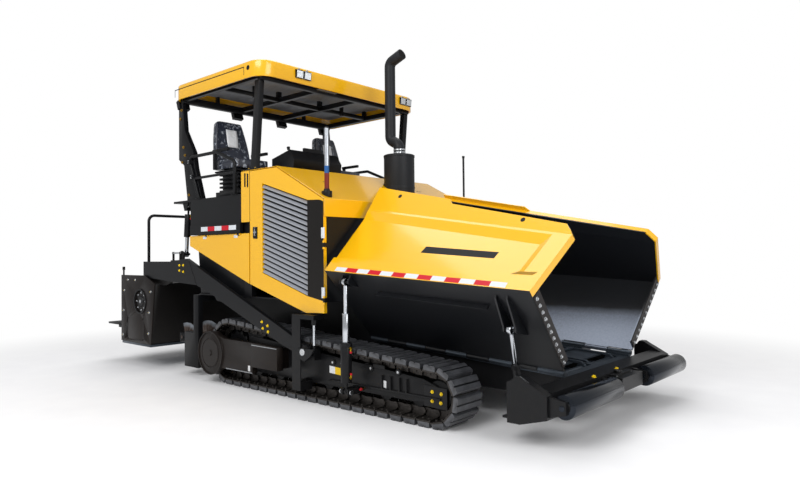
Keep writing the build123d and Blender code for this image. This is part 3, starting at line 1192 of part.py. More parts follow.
os.makedirs("parts", exist_ok=True)
save_pair("track", track())
save("track_frames", track_frames())
left_wheels = wheels()
save("track_wheels", *left_wheels, *[mirror(wheel, about=Plane.XZ) for wheel in left_wheels])
save("final_drives", *left_and_right(final_drive()))
save("chassis", chassis())
save("hopper_floor", hopper_floor())
save("conveyors", *left_and_right(conveyor_lane()))
save("front_beam", front_beam())
save_pair("push_roller", push_roller())
save_pair("wing_plate", wing_plate())
save_pair("wing_skin", wing_skin())
wing_barrel, wing_stage, wing_rod = wing_cylinder()
save_pair("wing_barrel", wing_barrel)
save_pair("wing_stage", wing_stage)
save_pair("wing_rod", wing_rod)
strut_barrel, strut_rod = strut()
save_pair("strut_barrel", strut_barrel)
save_pair("strut_rod", strut_rod)
save("hood", hood())
save_pair("louvre_door", louvre_door())
slats = louvre_slats()
save("door_slats_left", *slats)
save("door_slats_right", *[mirror(slat, about=Plane.XZ) for slat in slats])
save("house_frame", house_frame())
save_pair("side_flap", flap())
save("platform", platform())
save("tanks", tanks())
save("seat_bases", *left_and_right(seat_base()))
save("seats", *left_and_right(seat()))
save("console", console())
save("canopy_roof", canopy_roof())
save("canopy_frame", canopy_frame())
save("canopy_posts", *canopy_posts())
save("handrails", *left_and_right(handrail()))
save("muffler", muffler())
save("exhaust_pipe", exhaust_pipe())
lift_barrel, lift_rod = lift_cylinder()
save_pair("lift_barrel", lift_barrel)
save_pair("lift_rod", lift_rod)
save("engine", engine())
save("hood_posts", *hood_posts())
save("tow_arms", *left_and_right(tow_arm()))
save("tow_brackets", *left_and_right(tow_bracket()))
save("screed_box", screed_box())
save("screed_ends", *left_and_right(screed_ends()))
save("screed_sole", screed_sole())
save("screed_walkway", screed_step(), screed_rail())
save_pair("auger", auger())
save("auger_hangers", auger_hangers())
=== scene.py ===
# Asphalt paver on crawler tracks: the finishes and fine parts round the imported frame.
# Metres, +X to the hopper, +Y to the machine's left, +Z up. Sections follow the tractor from
# the ground up and then the screed, each with the sizes, meshes and materials of its pieces.
import bmesh
import bpy
import json
import math
import random
from mathutils import Matrix, Vector


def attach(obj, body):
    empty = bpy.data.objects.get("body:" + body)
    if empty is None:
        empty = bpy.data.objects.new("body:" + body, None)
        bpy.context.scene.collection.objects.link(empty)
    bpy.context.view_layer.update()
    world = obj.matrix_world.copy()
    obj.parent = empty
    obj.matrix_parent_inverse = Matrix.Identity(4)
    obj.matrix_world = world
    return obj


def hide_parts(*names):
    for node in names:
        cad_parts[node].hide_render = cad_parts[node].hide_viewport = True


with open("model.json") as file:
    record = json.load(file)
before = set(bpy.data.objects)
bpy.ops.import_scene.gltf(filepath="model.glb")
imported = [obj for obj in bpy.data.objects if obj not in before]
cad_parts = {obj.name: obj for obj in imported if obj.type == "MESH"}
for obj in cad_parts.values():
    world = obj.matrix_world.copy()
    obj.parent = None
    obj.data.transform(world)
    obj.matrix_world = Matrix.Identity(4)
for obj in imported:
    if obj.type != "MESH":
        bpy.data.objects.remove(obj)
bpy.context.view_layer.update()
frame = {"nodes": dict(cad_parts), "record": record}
scene = bpy.context.scene
scene.view_settings.view_transform = "Standard"
parts = frame["nodes"]


# ---- Camera ----
# A wide lens at chest height off the machine's front right corner, looking along the
# hopper's side to the screed, tipped up by a degree.
azimuth, pitch, roll = math.radians(41.393), math.radians(1.293), math.radians(-0.596)
sight = Vector((-math.sin(azimuth) * math.cos(pitch), math.cos(azimuth) * math.cos(pitch), math.sin(pitch)))
across = Vector((math.cos(azimuth), math.sin(azimuth), 0))
above = across.cross(sight)
camera = bpy.data.objects.new("camera", bpy.data.cameras.new("camera"))
camera.data.sensor_width = 36.0
camera.data.lens = 28.73
camera.data.clip_end = 200
turn = Matrix((across * math.cos(roll) + above * math.sin(roll),
               above * math.cos(roll) - across * math.sin(roll), -sight)).transposed()
camera.matrix_world = Matrix.Translation((5.355, -5.195, 1.391)) @ turn.to_4x4()
scene.collection.objects.link(camera)
scene.camera = camera


# ---- Studio ----
# A pale floor that fades to white away from the machine, a white room, and three large
# soft lamps: one high on the right, one low in front and one over the rear.
def linear(code):
    """Linear colour of an sRGB hex code."""
    shares = [int(code[i:i + 2], 16) / 255 for i in (1, 3, 5)]
    return [c / 12.92 if c <= 0.04045 else ((c + 0.055) / 1.055) ** 2.4 for c in shares] + [1.0]


def plug(tree, node, inputs):
    """Sets a node's inputs, by name or number, to values or to sockets."""
    for name, value in inputs.items():
        if isinstance(value, bpy.types.NodeSocket):
            tree.links.new(value, node.inputs[name])
        else:
            node.inputs[name].default_value = value


def add(tree, kind, inputs=None, **settings):
    """A new node with its settings and its inputs."""
    made = tree.nodes.new("ShaderNode" + kind)
    for name, value in settings.items():
        setattr(made, name, value)
    plug(tree, made, inputs or {})
    return made


def noise(tree, place, size, detail, **inputs):
    """Noise of a size in metres."""
    return add(tree, "TexNoise", {"Vector": place, "Scale": 1 / size, "Detail": detail, **inputs}).outputs[0]


def mix(tree, share, *colours):
    """A blend of two colours, each a hex code or a socket."""
    first, second = [linear(c) if isinstance(c, str) else c for c in colours]
    return add(tree, "MixRGB", {0: share, 1: first, 2: second}).outputs[0]


def calc(tree, operation, *values):
    """The result of a maths operation on one or more values."""
    return add(tree, "Math", dict(enumerate(values)), operation=operation).outputs[0]


def seen_directly(tree):
    """1 for rays from the eye and through glass, and 0 for the light and the reflections."""
    path = add(tree, "LightPath").outputs
    return calc(tree, "MAXIMUM", path["Is Camera Ray"], path["Is Transmission Ray"])


world = bpy.data.worlds.new("white_room")
scene.world = world
world.use_nodes = True
room = world.node_tree
room.nodes.clear()
lit = add(room, "Background", {"Color": (1, 1, 1, 1), "Strength": 0.5})
shown = add(room, "Background", {"Color": (1, 1, 1, 1), "Strength": 1.0})
room_mix = add(room, "MixShader", {0: seen_directly(room), 1: lit.outputs[0], 2: shown.outputs[0]})
add(room, "OutputWorld", {"Surface": room_mix.outputs[0]})

floor_stuff = bpy.data.materials.new("pale_studio_floor")
floor_stuff.use_nodes = True
tree = floor_stuff.node_tree
tree.nodes.clear()
place = add(tree, "TexCoord").outputs["Object"]
matt = add(tree, "BsdfDiffuse", {"Color": mix(tree, noise(tree, place, 1 / 3, 6.0), "#EFEFF1", "#F7F7F8")})
white = add(tree, "Emission", {"Color": (1, 1, 1, 1), "Strength": 1.0})
reach = add(tree, "VectorMath", {0: place}, operation="LENGTH").outputs["Value"]
fade = add(tree, "MapRange", {"Value": reach, "From Min": 4.2, "From Max": 7.5},
           interpolation_type="SMOOTHSTEP").outputs[0]
share = calc(tree, "MULTIPLY", fade, seen_directly(tree))
floor_mix = add(tree, "MixShader", {0: share, 1: matt.outputs[0], 2: white.outputs[0]})
add(tree, "OutputMaterial", {"Surface": floor_mix.outputs[0]})

floor_mesh = bpy.data.meshes.new("studio_floor")
floor_mesh.from_pydata([(-60, -60, 0), (60, -60, 0), (60, 60, 0), (-60, 60, 0)], [], [(0, 1, 2, 3)])
floor_mesh.materials.append(floor_stuff)
floor = bpy.data.objects.new("studio_floor", floor_mesh)
scene.collection.objects.link(floor)

LAMPS_AIM = Vector((0, 0, 1.2))
for name, spot, size, watts in (("lamp_right", (2.5, -9.0, 7.5), 6.0, 600),
                                ("lamp_front", (10.0, -2.0, 4.5), 5.0, 300),
                                ("lamp_top", (-1.5, 1.0, 10.5), 7.0, 380)):
    lamp = bpy.data.objects.new(name, bpy.data.lights.new(name, "AREA"))
    lamp.data.size = size
    lamp.data.energy = watts
    lamp.matrix_world = Matrix.Translation(spot) @ (LAMPS_AIM - Vector(spot)).to_track_quat(
        "-Z", "Y").to_matrix().to_4x4()
    scene.collection.objects.link(lamp)


# ---- Finishes that many pieces share ----
# Two-pack enamel sprayed on folded steel: gloss with faint orange peel, a tone that drifts a
# little over each panel, and a film of dust low down. Bare metals have a cloudy grain.
def surface(name):
    """A new material, its nodes and shader, and the machine's own coordinates."""
    stuff = bpy.data.materials.new(name)
    stuff.use_nodes = True
    tree = stuff.node_tree
    return stuff, tree, tree.nodes["Principled BSDF"], add(tree, "TexCoord").outputs["Object"]


def remap(tree, value, low, high, start=0.0, end=1.0):
    """Low to high, as a value goes from start to end."""
    return add(tree, "MapRange", {"Value": value, "From Min": start, "From Max": end, "To Min": low,
                                  "To Max": high}).outputs[0]


def relief(tree, height, strength, distance):
    """The normal of a surface raised by a texture."""
    return add(tree, "Bump", {"Height": height, "Strength": strength, "Distance": distance}).outputs[0]


def enamel(name, colour, shade, dust, gloss, coat=0.0):
    """Sprayed enamel: its colour and second tone, the dust's colour, its roughness and clear coat."""
    stuff, tree, shader, place = surface(name)
    drift, mottle = noise(tree, place, 0.6, 3.0), noise(tree, place, 0.06, 4.0)
    low = remap(tree, add(tree, "SeparateXYZ", {0: place}).outputs["Z"], 0.26, 0.0, end=0.9)
    plug(tree, shader, {
        "Base Color": mix(tree, calc(tree, "MULTIPLY", mottle, low), mix(tree, drift, colour, shade), dust),
        "Roughness": remap(tree, mottle, gloss - 0.02, gloss + 0.05),
        # Orange peel is about 3 mm; it is drawn at 9 mm so that it shows.
        "Normal": relief(tree, noise(tree, place, 0.009, 2.0), 0.03, 0.002),
        "IOR": 1.5, "Specular IOR Level": 0.22 + 0.4 * coat, "Coat Weight": coat, "Coat Roughness": 0.08})
    return stuff


def bare_metal(name, colour, shade, gloss, grain, metallic=1.0, streak=(1, 1, 1)):
    """Bare metal: colour, darker shade, roughness, grain in metres, and its streaks' stretch."""
    stuff, tree, shader, place = surface(name)
    cloud = noise(tree, add(tree, "Mapping", {"Vector": place, "Scale": streak}).outputs[0], grain, 5.0)
    plug(tree, shader, {"Base Color": mix(tree, cloud, colour, shade), "Metallic": metallic,
                        "Roughness": remap(tree, cloud, gloss - 0.06, gloss + 0.12),
                        "Normal": relief(tree, cloud, 0.15, 0.002)})
    return stuff


yellow_enamel = enamel("yellow_enamel", "#F2B706", "#EFB303", "#B99C5C", 0.24, 0.7)
black_enamel = enamel("black_enamel", "#0C0D0F", "#131417", "#35322E", 0.34)
screed_enamel = enamel("black_screed_enamel", "#100F0F", "#191716", "#3A352F", 0.42)
worn_plate = bare_metal("worn_plate_steel", "#5D6670", "#353A40", 0.34, 0.25, metallic=0.8)
chrome = bare_metal("hard_chrome_rod", "#D6DADF", "#B9BDC2", 0.14, 0.05)
exhaust_steel = enamel("heat_proof_grey_paint", "#222428", "#1B1C1F", "#3F3B36", 0.45)
rubber = enamel("track_pad_rubber", "#0F0F11", "#17171A", "#34302C", 0.5)
cloth = enamel("seat_vinyl", "#1D2330", "#151A24", "#3C3F46", 0.42)
plastic = enamel("console_abs", "#0F1012", "#17181B", "#2E2D2B", 0.45)

# The louvres' slats are grey outside, and black as painted shade where they turn in behind the door's sheet.
SLAT_LIP = (1.187, 1.191)
slats_grey_with_painted_shade, tree, shader, place = surface("grey_slats_painted_shade_inside")
out_from_middle = calc(tree, "ABSOLUTE", add(tree, "SeparateXYZ", {0: place}).outputs["Y"])
grey = mix(tree, noise(tree, place, 0.05, 4.0), "#9DA0A7", "#8B8F96")
plug(tree, shader, {"Base Color": mix(tree, remap(tree, out_from_middle, 0, 1, *SLAT_LIP), "#08090A", grey),
                    "Roughness": 0.35})

finishes = {"yellow_paint": yellow_enamel, "frame_black": black_enamel, "screed_paint": screed_enamel,
            "worn_steel": worn_plate, "grey_slats": slats_grey_with_painted_shade, "track_rubber": rubber, "rod_chrome": chrome,
            "exhaust_steel": exhaust_steel, "seat_cloth": cloth, "console_plastic": plastic}
for row in frame["record"]["subparts"]:
    skin = parts[row["node"]].data
    skin.materials.clear()
    skin.materials.append(finishes[row["material_slot"]])


# ---- Tracks ----
# Fifty links to a side: forged side plates and bushings, a pressed steel shoe on each, and a
# moulded rubber pad bolted to the shoe, its edges grey in patches, partly scuffs and partly a
# painted highlight. They follow the loop that the CAD tracks have round the sprocket and the idler.
def shape(mesh, points, faces, index=0):
    """Adds faces between points to a mesh; index picks the material."""
    corners = [mesh.verts.new(p) for p in points]
    for picks in faces:
        mesh.faces.new([corners[i] for i in picks]).material_index = index


def plate(mesh, outline, depth, index=0):
    """A flat polygon given a depth."""
    count = len(outline)
    points = [Vector(p) for p in outline] + [Vector(p) + Vector(depth) for p in outline]
    shape(mesh, points, [tuple(range(count)), tuple(range(2 * count - 1, count - 1, -1))]
          + [(i, (i + 1) % count, count + (i + 1) % count, count + i) for i in range(count)], index)


def circles(axis, ends, sides):
    """Points round an axis at each of some (centre, radius)."""
    turn = axis.to_track_quat("Z", "Y")
    angles = [2 * math.pi * i / sides for i in range(sides)]
    return [centre + turn @ Vector((radius * math.cos(a), radius * math.sin(a), 0))
            for centre, radius in ends for a in angles]


def rod(mesh, start, end, radius, tip=None, sides=16, index=0):
    """A cylinder or cone between two points."""
    start, end = Vector(start), Vector(end)
    shape(mesh, circles(end - start, ((start, radius), (end, radius if tip is None else tip)), sides),
          [tuple(range(sides)), tuple(range(2 * sides - 1, sides - 1, -1))]
          + [(i, (i + 1) % sides, sides + (i + 1) % sides, sides + i) for i in range(sides)], index)


def piece(name, mesh, body, stuffs, bevel=0.0, angle=35):
    """Turns a mesh into a piece that rides on a body, its small edges rounded."""
    bmesh.ops.recalc_face_normals(mesh, faces=mesh.faces)
    data = bpy.data.meshes.new(name)
    mesh.to_mesh(data)
    mesh.free()
    for stuff in stuffs:
        data.materials.append(stuff)
    data.shade_smooth()
    data.set_sharp_from_angle(angle=math.radians(angle))
    made = bpy.data.objects.new(name, data)
    scene.collection.objects.link(made)
    if bevel:
        soften(made, bevel)
    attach(made, body)
    return made


def soften(made, width):
    """Rounds a piece's edges by a width."""
    edges = made.modifiers.new("edges", "BEVEL")
    edges.width = width
    edges.segments = 2
    edges.limit_method = "ANGLE"
    edges.angle_limit = math.radians(32)
    edges.use_clamp_overlap = True
    edges.harden_normals = True


SIDES = ((1, "left"), (-1, "right"))
SHOES = 50
SPROCKET, IDLER = (-0.670, 0.355), (2.165, 0.250)     # x, and height and radius to the pads' faces
TRACK_MIDDLE = 1.042
pad_rubber_with_painted_highlight, tree, shader, place = surface("pad_rubber_scuffs_and_painted_highlight")
patch = noise(tree, place, 0.09, 3.0)
# Grey on the pads' sharp edges, in patches: partly scuffs, partly painted highlight.
edge = remap(tree, add(tree, "NewGeometry").outputs["Pointiness"], 0, 1, 0.52, 0.6)
plug(tree, shader, {"Base Color": mix(tree, calc(tree, "MULTIPLY", edge, patch), "#131416", "#7E8086"),
                    "Roughness": remap(tree, patch, 0.22, 0.48),
                    "Normal": relief(tree, noise(tree, place, 0.012, 6.0), 0.25, 0.002)})
chain_steel = bare_metal("forged_chain_steel", "#4A4643", "#2A2725", 0.42, 0.04, metallic=0.7)

run = IDLER[0] - SPROCKET[0]
fall = 2 * math.atan2(SPROCKET[1] - IDLER[1], run)
# Each stretch starts at a wheel and an angle, has a length, and is straight or turns with the wheel.
STRETCHES = ((SPROCKET, math.pi / 2 - fall, run, False),
             (IDLER, math.pi / 2 - fall, IDLER[1] * (math.pi - fall), True),
             (IDLER, -math.pi / 2, run, False),
             (SPROCKET, -math.pi / 2, SPROCKET[1] * (math.pi + fall), True))
PITCH = sum(length for _, _, length, _ in STRETCHES) / SHOES
FIRST_SHOE = 0.39                      # share of a pitch from the sprocket's top to the first shoe


def loop_place(along, side):
    """Axes of a shoe: X along the loop, Y to the left, Z out of the pad's face."""
    along %= PITCH * SHOES
    for wheel, angle, length, turns in STRETCHES:
        if along < length:
            break
        along -= length
    if turns:
        angle, along = angle - along / wheel[1], 0.0
    out = Vector((math.cos(angle), 0, math.sin(angle)))
    way = Vector((math.sin(angle), 0, -math.cos(angle)))
    spot = Vector((wheel[0], side * TRACK_MIDDLE, wheel[1])) + wheel[1] * out + along * way
    return Matrix.Translation(spot) @ Matrix((way, Vector((0, 1, 0)), out)).transposed().to_4x4()


# Outlines along the loop and out of it, from the middle of the pad's face; a link is mirrored
# for the pair of plates that meets it.
PAD = [(-0.060, -0.046), (-0.058, -0.012), (-0.048, -0.001), (-0.008, -0.001), (-0.005, -0.008),
       (0.005, -0.008), (0.008, -0.001), (0.048, -0.001), (0.058, -0.012), (0.060, -0.046)]
SHOE = [(-0.074, -0.070), (-0.066, -0.045), (0.066, -0.045), (0.074, -0.052), (0.074, -0.060),
        (0.060, -0.058), (-0.060, -0.058), (-0.068, -0.070)]
LINK = [(-0.086, -0.105), (-0.082, -0.122), (-0.066, -0.130), (0.0, -0.126), (0.0, -0.058), (-0.06, -0.058),
        (-0.084, -0.084)]
PAD_HALF, SHOE_HALF, LINK_THICK = 0.168, 0.170, 0.014
BUSH_HALF, BUSH_Z, BUSH_R = 0.068, -0.098, 0.019
for side, hand in SIDES:
    mesh = bmesh.new()
    for i in range(SHOES):
        there = loop_place((i + FIRST_SHOE) * PITCH, side)
        leftward = there.to_3x3() @ Vector((0, 1, 0))
        for outline, half, index in ((PAD, PAD_HALF, 0), (SHOE, SHOE_HALF, 1)):
            plate(mesh, [there @ Vector((x, -half, z)) for x, z in outline], 2 * half * leftward, index)
        for y, flip in ((-0.062, 1), (0.048, 1), (-0.047, -1), (0.033, -1)):
            plate(mesh, [there @ Vector((x * flip, y, z)) for x, z in LINK], LINK_THICK * leftward, 1)
        bush = there @ Vector((PITCH / 2, -BUSH_HALF, BUSH_Z))
        rod(mesh, bush, bush + 2 * BUSH_HALF * leftward, BUSH_R, sides=10, index=1)
        for x, y in ((-0.03, 0.13), (0.03, 0.13), (-0.03, -0.13), (0.03, -0.13)):
            rod(mesh, there @ Vector((x, y, -0.058)), there @ Vector((x, y, -0.072)), 0.012, sides=6, index=1)
    made = piece(f"track_shoes_{hand}", mesh, "tractor", (pad_rubber_with_painted_highlight, chain_steel), 0.0016)
    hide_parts(f"track_{hand}")


# ---- Frame steel: rounded edges of the CAD pieces ----
# Cut and welded plate has a small radius on its edges, and turned pieces are smooth; the
# modifiers give the CAD solids both.
THICK_SKINS = ("hood", "canopy_roof", "platform")
FLAT_SHEETS = ("wing_skin", "wing_plate", "side_flap", "louvre_door", "hood", "house_frame", "platform",
               "front_beam", "tow_arms", "tow_brackets", "hopper_floor", "chassis")
for name, node in parts.items():
    if name in ("track_left", "track_right"):
        continue
    weld = node.modifiers.new("weld", "WELD")
    weld.merge_threshold = 0.00002
    soften(node, 0.0045 if name in THICK_SKINS else 0.0022)
    if name.removesuffix("_left").removesuffix("_right") in FLAT_SHEETS:
        node.data.shade_flat()
    else:
        node.data.shade_smooth()
        node.data.set_sharp_from_angle(angle=math.radians(32))


# ---- Track frames and final drives ----
# Flame-cut side plates with a bolted cover, round bosses and blank labels, and cast drive
# covers with two turned rings and thin bright lines along their edges.
def at(side, x, y, z):
    """A point on the left side, or its mirror on the right."""
    return Vector((x, side * y, z))


def oblong(x0, z0, x1, z1):
    """The corners of an upright rectangle."""
    return [(x0, z0), (x1, z0), (x1, z1), (x0, z1)]


def patch_at(mesh, side, face, corners, thick, index=0):
    """A thin plate on a side face, its corners given as (x, z)."""
    plate(mesh, [at(side, x, face, z) for x, z in corners], at(side, 0, thick, 0), index)


def boss(mesh, side, spot, low, high, radius, tip=None, sides=16, index=0):
    """A round boss that stands out of a side face at a spot (x, z), from low to high."""
    x, z = spot
    rod(mesh, at(side, x, low, z), at(side, x, high, z), radius, tip, sides, index)


def ring(mesh, start, end, outer, bore, sides=48):
    """A tube between two points."""
    points = circles(end - start, ((start, outer), (end, outer), (end, bore), (start, bore)), sides)
    shape(mesh, points, [(k * sides + i, k * sides + (i + 1) % sides, (k + 1) % 4 * sides + (i + 1) % sides,
                          (k + 1) % 4 * sides + i) for k in range(4) for i in range(sides)])


def bolt(mesh, spot, axis, size, index=0):
    """A hexagon bolt with its washer: size is across the head, axis points out."""
    spot, axis = Vector(spot), Vector(axis).normalized()
    rod(mesh, spot - axis * 0.001, spot + axis * size * 0.14, size * 0.8, sides=14, index=index)
    rod(mesh, spot, spot + axis * size * 0.6, size * 0.56, size * 0.52, sides=6, index=index)


def bolts_at(mesh, side, face, spots, size, index=0):
    """Bolts in a side face at spots (x, z)."""
    for x, z in spots:
        bolt(mesh, at(side, x, face, z), (0, side, 0), size, index)


bolt_steel = bare_metal("zinc_plated_bolts", "#D9DBDD", "#B5B9BD", 0.25, 0.01)
yellow_head = enamel("yellow_bolt_paint", "#F4D21A", "#E3BE10", "#A88F4A", 0.35)
brass = bare_metal("brass_fitting", "#C9A227", "#A37F1B", 0.28, 0.02)
red_cap = enamel("red_cap_plastic", "#C8202C", "#A81A24", "#6F3A38", 0.35)
blank_label = enamel("blank_white_label", "#E6E7E8", "#DADCDE", "#A7A49D", 0.4)
blank_yellow = enamel("blank_yellow_label", "#F2C81E", "#E4B90F", "#A89552", 0.4)
bright_edge = bare_metal("bright_edge_lines", "#B9BCBF", "#7F8286", 0.3, 0.03)
brown_black = enamel("brown_black_primer", "#14100F", "#1D1816", "#3C342C", 0.4)
FRAME_FACE = 1.138                     # outer face of the track frame's side plate
DRIVE_FACE, DRIVE_BOX_FACE = 1.295, 1.281
DRIVE_SPOT = (-0.885, 0.330)
COVER_THICK, LABEL_THICK = 0.008, 0.0012
for side, hand in SIDES:
    mesh = bmesh.new()
    # Cover plate of the track's tensioner, held by four painted bolts.
    patch_at(mesh, side, FRAME_FACE, [(2.03, 0.156), (2.265, 0.150), (2.265, 0.318), (2.03, 0.326)],
             COVER_THICK, 3)
    bolts_at(mesh, side, FRAME_FACE + COVER_THICK,
             ((2.116, 0.279), (2.208, 0.272), (2.115, 0.204), (2.203, 0.200)), 0.019)
    for x in (0.94, 1.06, 1.43, 1.75):
        boss(mesh, side, (x, 0.395), FRAME_FACE - 0.001, FRAME_FACE + 0.012, 0.03, 0.026, index=3)
        boss(mesh, side, (x, 0.395), FRAME_FACE, FRAME_FACE + 0.016, 0.012, sides=6, index=1)
    for x, z, wide, tall, index in ((0.885, 0.292, 0.075, 0.066, 2), (0.960, 0.288, 0.078, 0.066, 4),
                                    (1.560, 0.245, 0.045, 0.060, 2)):
        patch_at(mesh, side, FRAME_FACE, [(x, z), (x + wide, z - 0.004), (x + wide, z + tall - 0.004),
                                          (x, z + tall)], LABEL_THICK, index)
    # Small black pads high on the side plate.
    for x, z, half in ((1.126, 0.445, 0.05), (1.52, 0.42, 0.07), (0.72, 0.455, 0.06)):
        patch_at(mesh, side, FRAME_FACE, [(x - half, z + 0.016), (x + half, z + 0.010), (x + half, z - 0.022),
                                          (x - half, z - 0.016)], 0.004, 3)
    # Grease fitting with its cap.
    boss(mesh, side, (1.33, 0.20), FRAME_FACE, FRAME_FACE + 0.028, 0.010, sides=10, index=5)
    boss(mesh, side, (1.33, 0.20), FRAME_FACE + 0.028, FRAME_FACE + 0.045, 0.013, 0.010, sides=10, index=6)
    piece(f"track_frame_fittings_{hand}", mesh, "tractor",
          (yellow_head, bolt_steel, blank_label, black_enamel, blank_yellow, brass, red_cap),
          0.0008)

    mesh = bmesh.new()
    hub = [at(side, DRIVE_SPOT[0], DRIVE_FACE + lift, DRIVE_SPOT[1]) for lift in (-0.001, 0.005, 0.008)]
    ring(mesh, hub[0], hub[2], 0.237, 0.225)
    ring(mesh, hub[0], hub[1], 0.165, 0.158)
    boss(mesh, side, DRIVE_SPOT, DRIVE_FACE - 0.001, DRIVE_FACE + 0.004, 0.155, 0.150, sides=48)
    boss(mesh, side, DRIVE_SPOT, DRIVE_FACE, DRIVE_FACE + 0.014, 0.035, 0.03, sides=24)
    patch_at(mesh, side, DRIVE_BOX_FACE, oblong(-0.60, 0.186, -0.13, 0.196), 0.002, 1)
    patch_at(mesh, side, DRIVE_FACE, [(-0.12, 0.476), (0.29, 0.470), (0.29, 0.479), (-0.12, 0.486)], 0.002, 1)
    patch_at(mesh, side, DRIVE_BOX_FACE, oblong(-0.20, 0.205, -0.165, 0.262), LABEL_THICK, 2)
    piece(f"final_drive_trim_{hand}", mesh, "tractor", (brown_black, bright_edge, blank_label),
          0.0012)
parts["final_drives"].data.materials[0] = brown_black
parts["track_wheels"].data.materials[0] = black_enamel


# ---- Hopper wings ----
# Each lower plate is black outside and at the top; inside, below a nearly level line, it turns a
# glossy blue-grey that is a painted reflection of the white floor. Tape and a stripe are stuck on
# the yellow skin, and a brown strip is bolted down the plate's front edge.
wing_lining, tree, shader, place = surface("hopper_plate_paint_and_painted_reflection")
split = add(tree, "SeparateXYZ", {0: place}).outputs
facing = add(tree, "SeparateXYZ", {0: add(tree, "TexCoord").outputs["Normal"]}).outputs["Y"]
inside = calc(tree, "LESS_THAN", calc(tree, "MULTIPLY", facing, calc(tree, "SIGN", split["Y"])), -0.2)
ragged = calc(tree, "MULTIPLY_ADD", noise(tree, place, 0.5, 8.0, Roughness=0.65), 0.06, split["Z"])
painted_reflection_share = calc(tree, "MULTIPLY", remap(tree, ragged, 0, 1, 0.87, 0.80), inside)
speckle = noise(tree, place, 0.02, 6.0)
# The blue-grey below the line is a painted reflection of the floor.
paint, steel = mix(tree, speckle, "#0D0E11", "#15171B"), mix(tree, speckle, "#5F6671", "#868D9B")
plug(tree, shader, {"Base Color": mix(tree, painted_reflection_share, paint, steel),
                    "Metallic": calc(tree, "MULTIPLY", painted_reflection_share, 0.75),
                    "Roughness": remap(tree, speckle, 0.26, 0.4),
                    "Normal": relief(tree, speckle, 0.1, 0.001)})

tape_white = enamel("silver_white_reflex_tape", "#DDE1E6", "#CBD0D6", "#A9A7A2", 0.3)
tape_red = enamel("red_reflex_tape", "#D0182B", "#B81424", "#7A4A44", 0.3)
matt_black = enamel("black_vinyl_stripe", "#121416", "#17191B", "#33312F", 0.5)
# Dark yellow that stands for the pocket's shadow: a painted shadow.
painted_pocket_shadow = enamel("painted_shadow_in_the_pocket", "#A97F18", "#8E6A12", "#7A6435", 0.5)
BEND_REAR, BEND_FRONT = Vector((0.980, 1.278, 1.2515)), Vector((3.095, 1.278, 1.128))
FOLD_REAR, FOLD_FRONT = Vector((0.980, 0.690, 1.8399)), Vector((3.219, 0.875, 1.524))
RIM_REAR = Vector((0.980, 0.553, 2.0294))
HINGE_REAR, HINGE_FRONT = Vector((0.980, 0.660, 0.578)), Vector((3.035, 0.660, 0.458))
SIDE_PANEL, RIM_PANEL = (BEND_REAR, BEND_FRONT, FOLD_REAR), (FOLD_REAR, FOLD_FRONT, RIM_REAR)
TAPE_START, TAPE_LONG, TAPE_STEP = 0.126, 0.136, 0.1378
STRIP_THICK = 0.005
strip_up = (BEND_FRONT - HINGE_FRONT).normalized()
strip_in = (HINGE_FRONT - HINGE_REAR).normalized().cross(strip_up)
strip_in *= -1 if strip_in.y > 0 else 1
strip_out = strip_up.cross(strip_in).normalized()
strip_out *= 1 if strip_out.x > 0 else -1
strip_foot, strip_tall = HINGE_FRONT + strip_up * 0.062, (BEND_FRONT - HINGE_FRONT).length - 0.14


def on_panel(side, panel, a, b, lift=0.0):
    """A point on a flat panel: a along it, b up it, and lifted off it."""
    start, ahead, up = panel
    way = (ahead - start).normalized()
    square = (up - start) - way * (up - start).dot(way)
    square.normalize()
    normal = way.cross(square)
    normal *= 1 if normal.y > 0 else -1
    return at(side, *(start + way * a + square * b + normal * lift))


def patch_on(mesh, side, panel, corners, thick, index, lift=0.0):
    """A thin plate on a panel."""
    low = [on_panel(side, panel, a, b, lift) for a, b in corners]
    plate(mesh, low, on_panel(side, panel, *corners[0], lift + thick) - low[0], index)


def on_strip(side, a, b, lift=0.0):
    """A point on the edge strip: a up it, b inward, and lifted off it."""
    return at(side, *(strip_foot + strip_up * a + strip_in * b + strip_out * lift))


for side, hand in SIDES:
    parts[f"wing_plate_{hand}"].data.materials[0] = wing_lining
    mesh = bmesh.new()
    for i in range(13):
        a = TAPE_START + i * TAPE_STEP
        patch_on(mesh, side, SIDE_PANEL, oblong(a, 0.008, a + TAPE_LONG, 0.056), 0.0007, i % 2)
    # The vinyl stripe lies on the floor of the pressed panel, 25 mm in.
    patch_on(mesh, side, SIDE_PANEL, [(0.930, 0.318), (1.665, 0.306), (1.678, 0.374), (0.946, 0.392)],
             0.0015, 2, lift=-0.0255)
    piece(f"wing_tape_{hand}", mesh, f"wing_{hand}", (tape_white, tape_red, matt_black))

    # The round holes in the rim, and a painted shadow in the small pocket below the pressed panel's front
    # corner.
    mesh = bmesh.new()
    for a, b in ((0.311, 0.190), (1.794, 0.080)):
        rod(mesh, on_panel(side, RIM_PANEL, a, b), on_panel(side, RIM_PANEL, a, b, 0.001), 0.021, sides=24)
    patch_on(mesh, side, SIDE_PANEL, [(1.90, 0.142), (2.075, 0.148), (2.105, 0.178), (1.955, 0.172)],
             0.001, 1)
    piece(f"wing_rim_fittings_{hand}", mesh, f"wing_{hand}", (matt_black, painted_pocket_shadow))

    # Bolted strip down the front edge of the lower plate.
    mesh = bmesh.new()
    out = on_strip(side, 0, 0, 1) - on_strip(side, 0, 0)
    plate(mesh, [on_strip(side, a, b) for a, b in oblong(0, 0.002, strip_tall, 0.1)], out * STRIP_THICK)
    for i in range(11):
        bolt(mesh, on_strip(side, 0.035 + i * (strip_tall - 0.07) / 10, 0.034, STRIP_THICK), out, 0.02, 1)
    piece(f"wing_edge_strip_{hand}", mesh, f"wing_{hand}", (brown_black, bolt_steel), 0.0012)
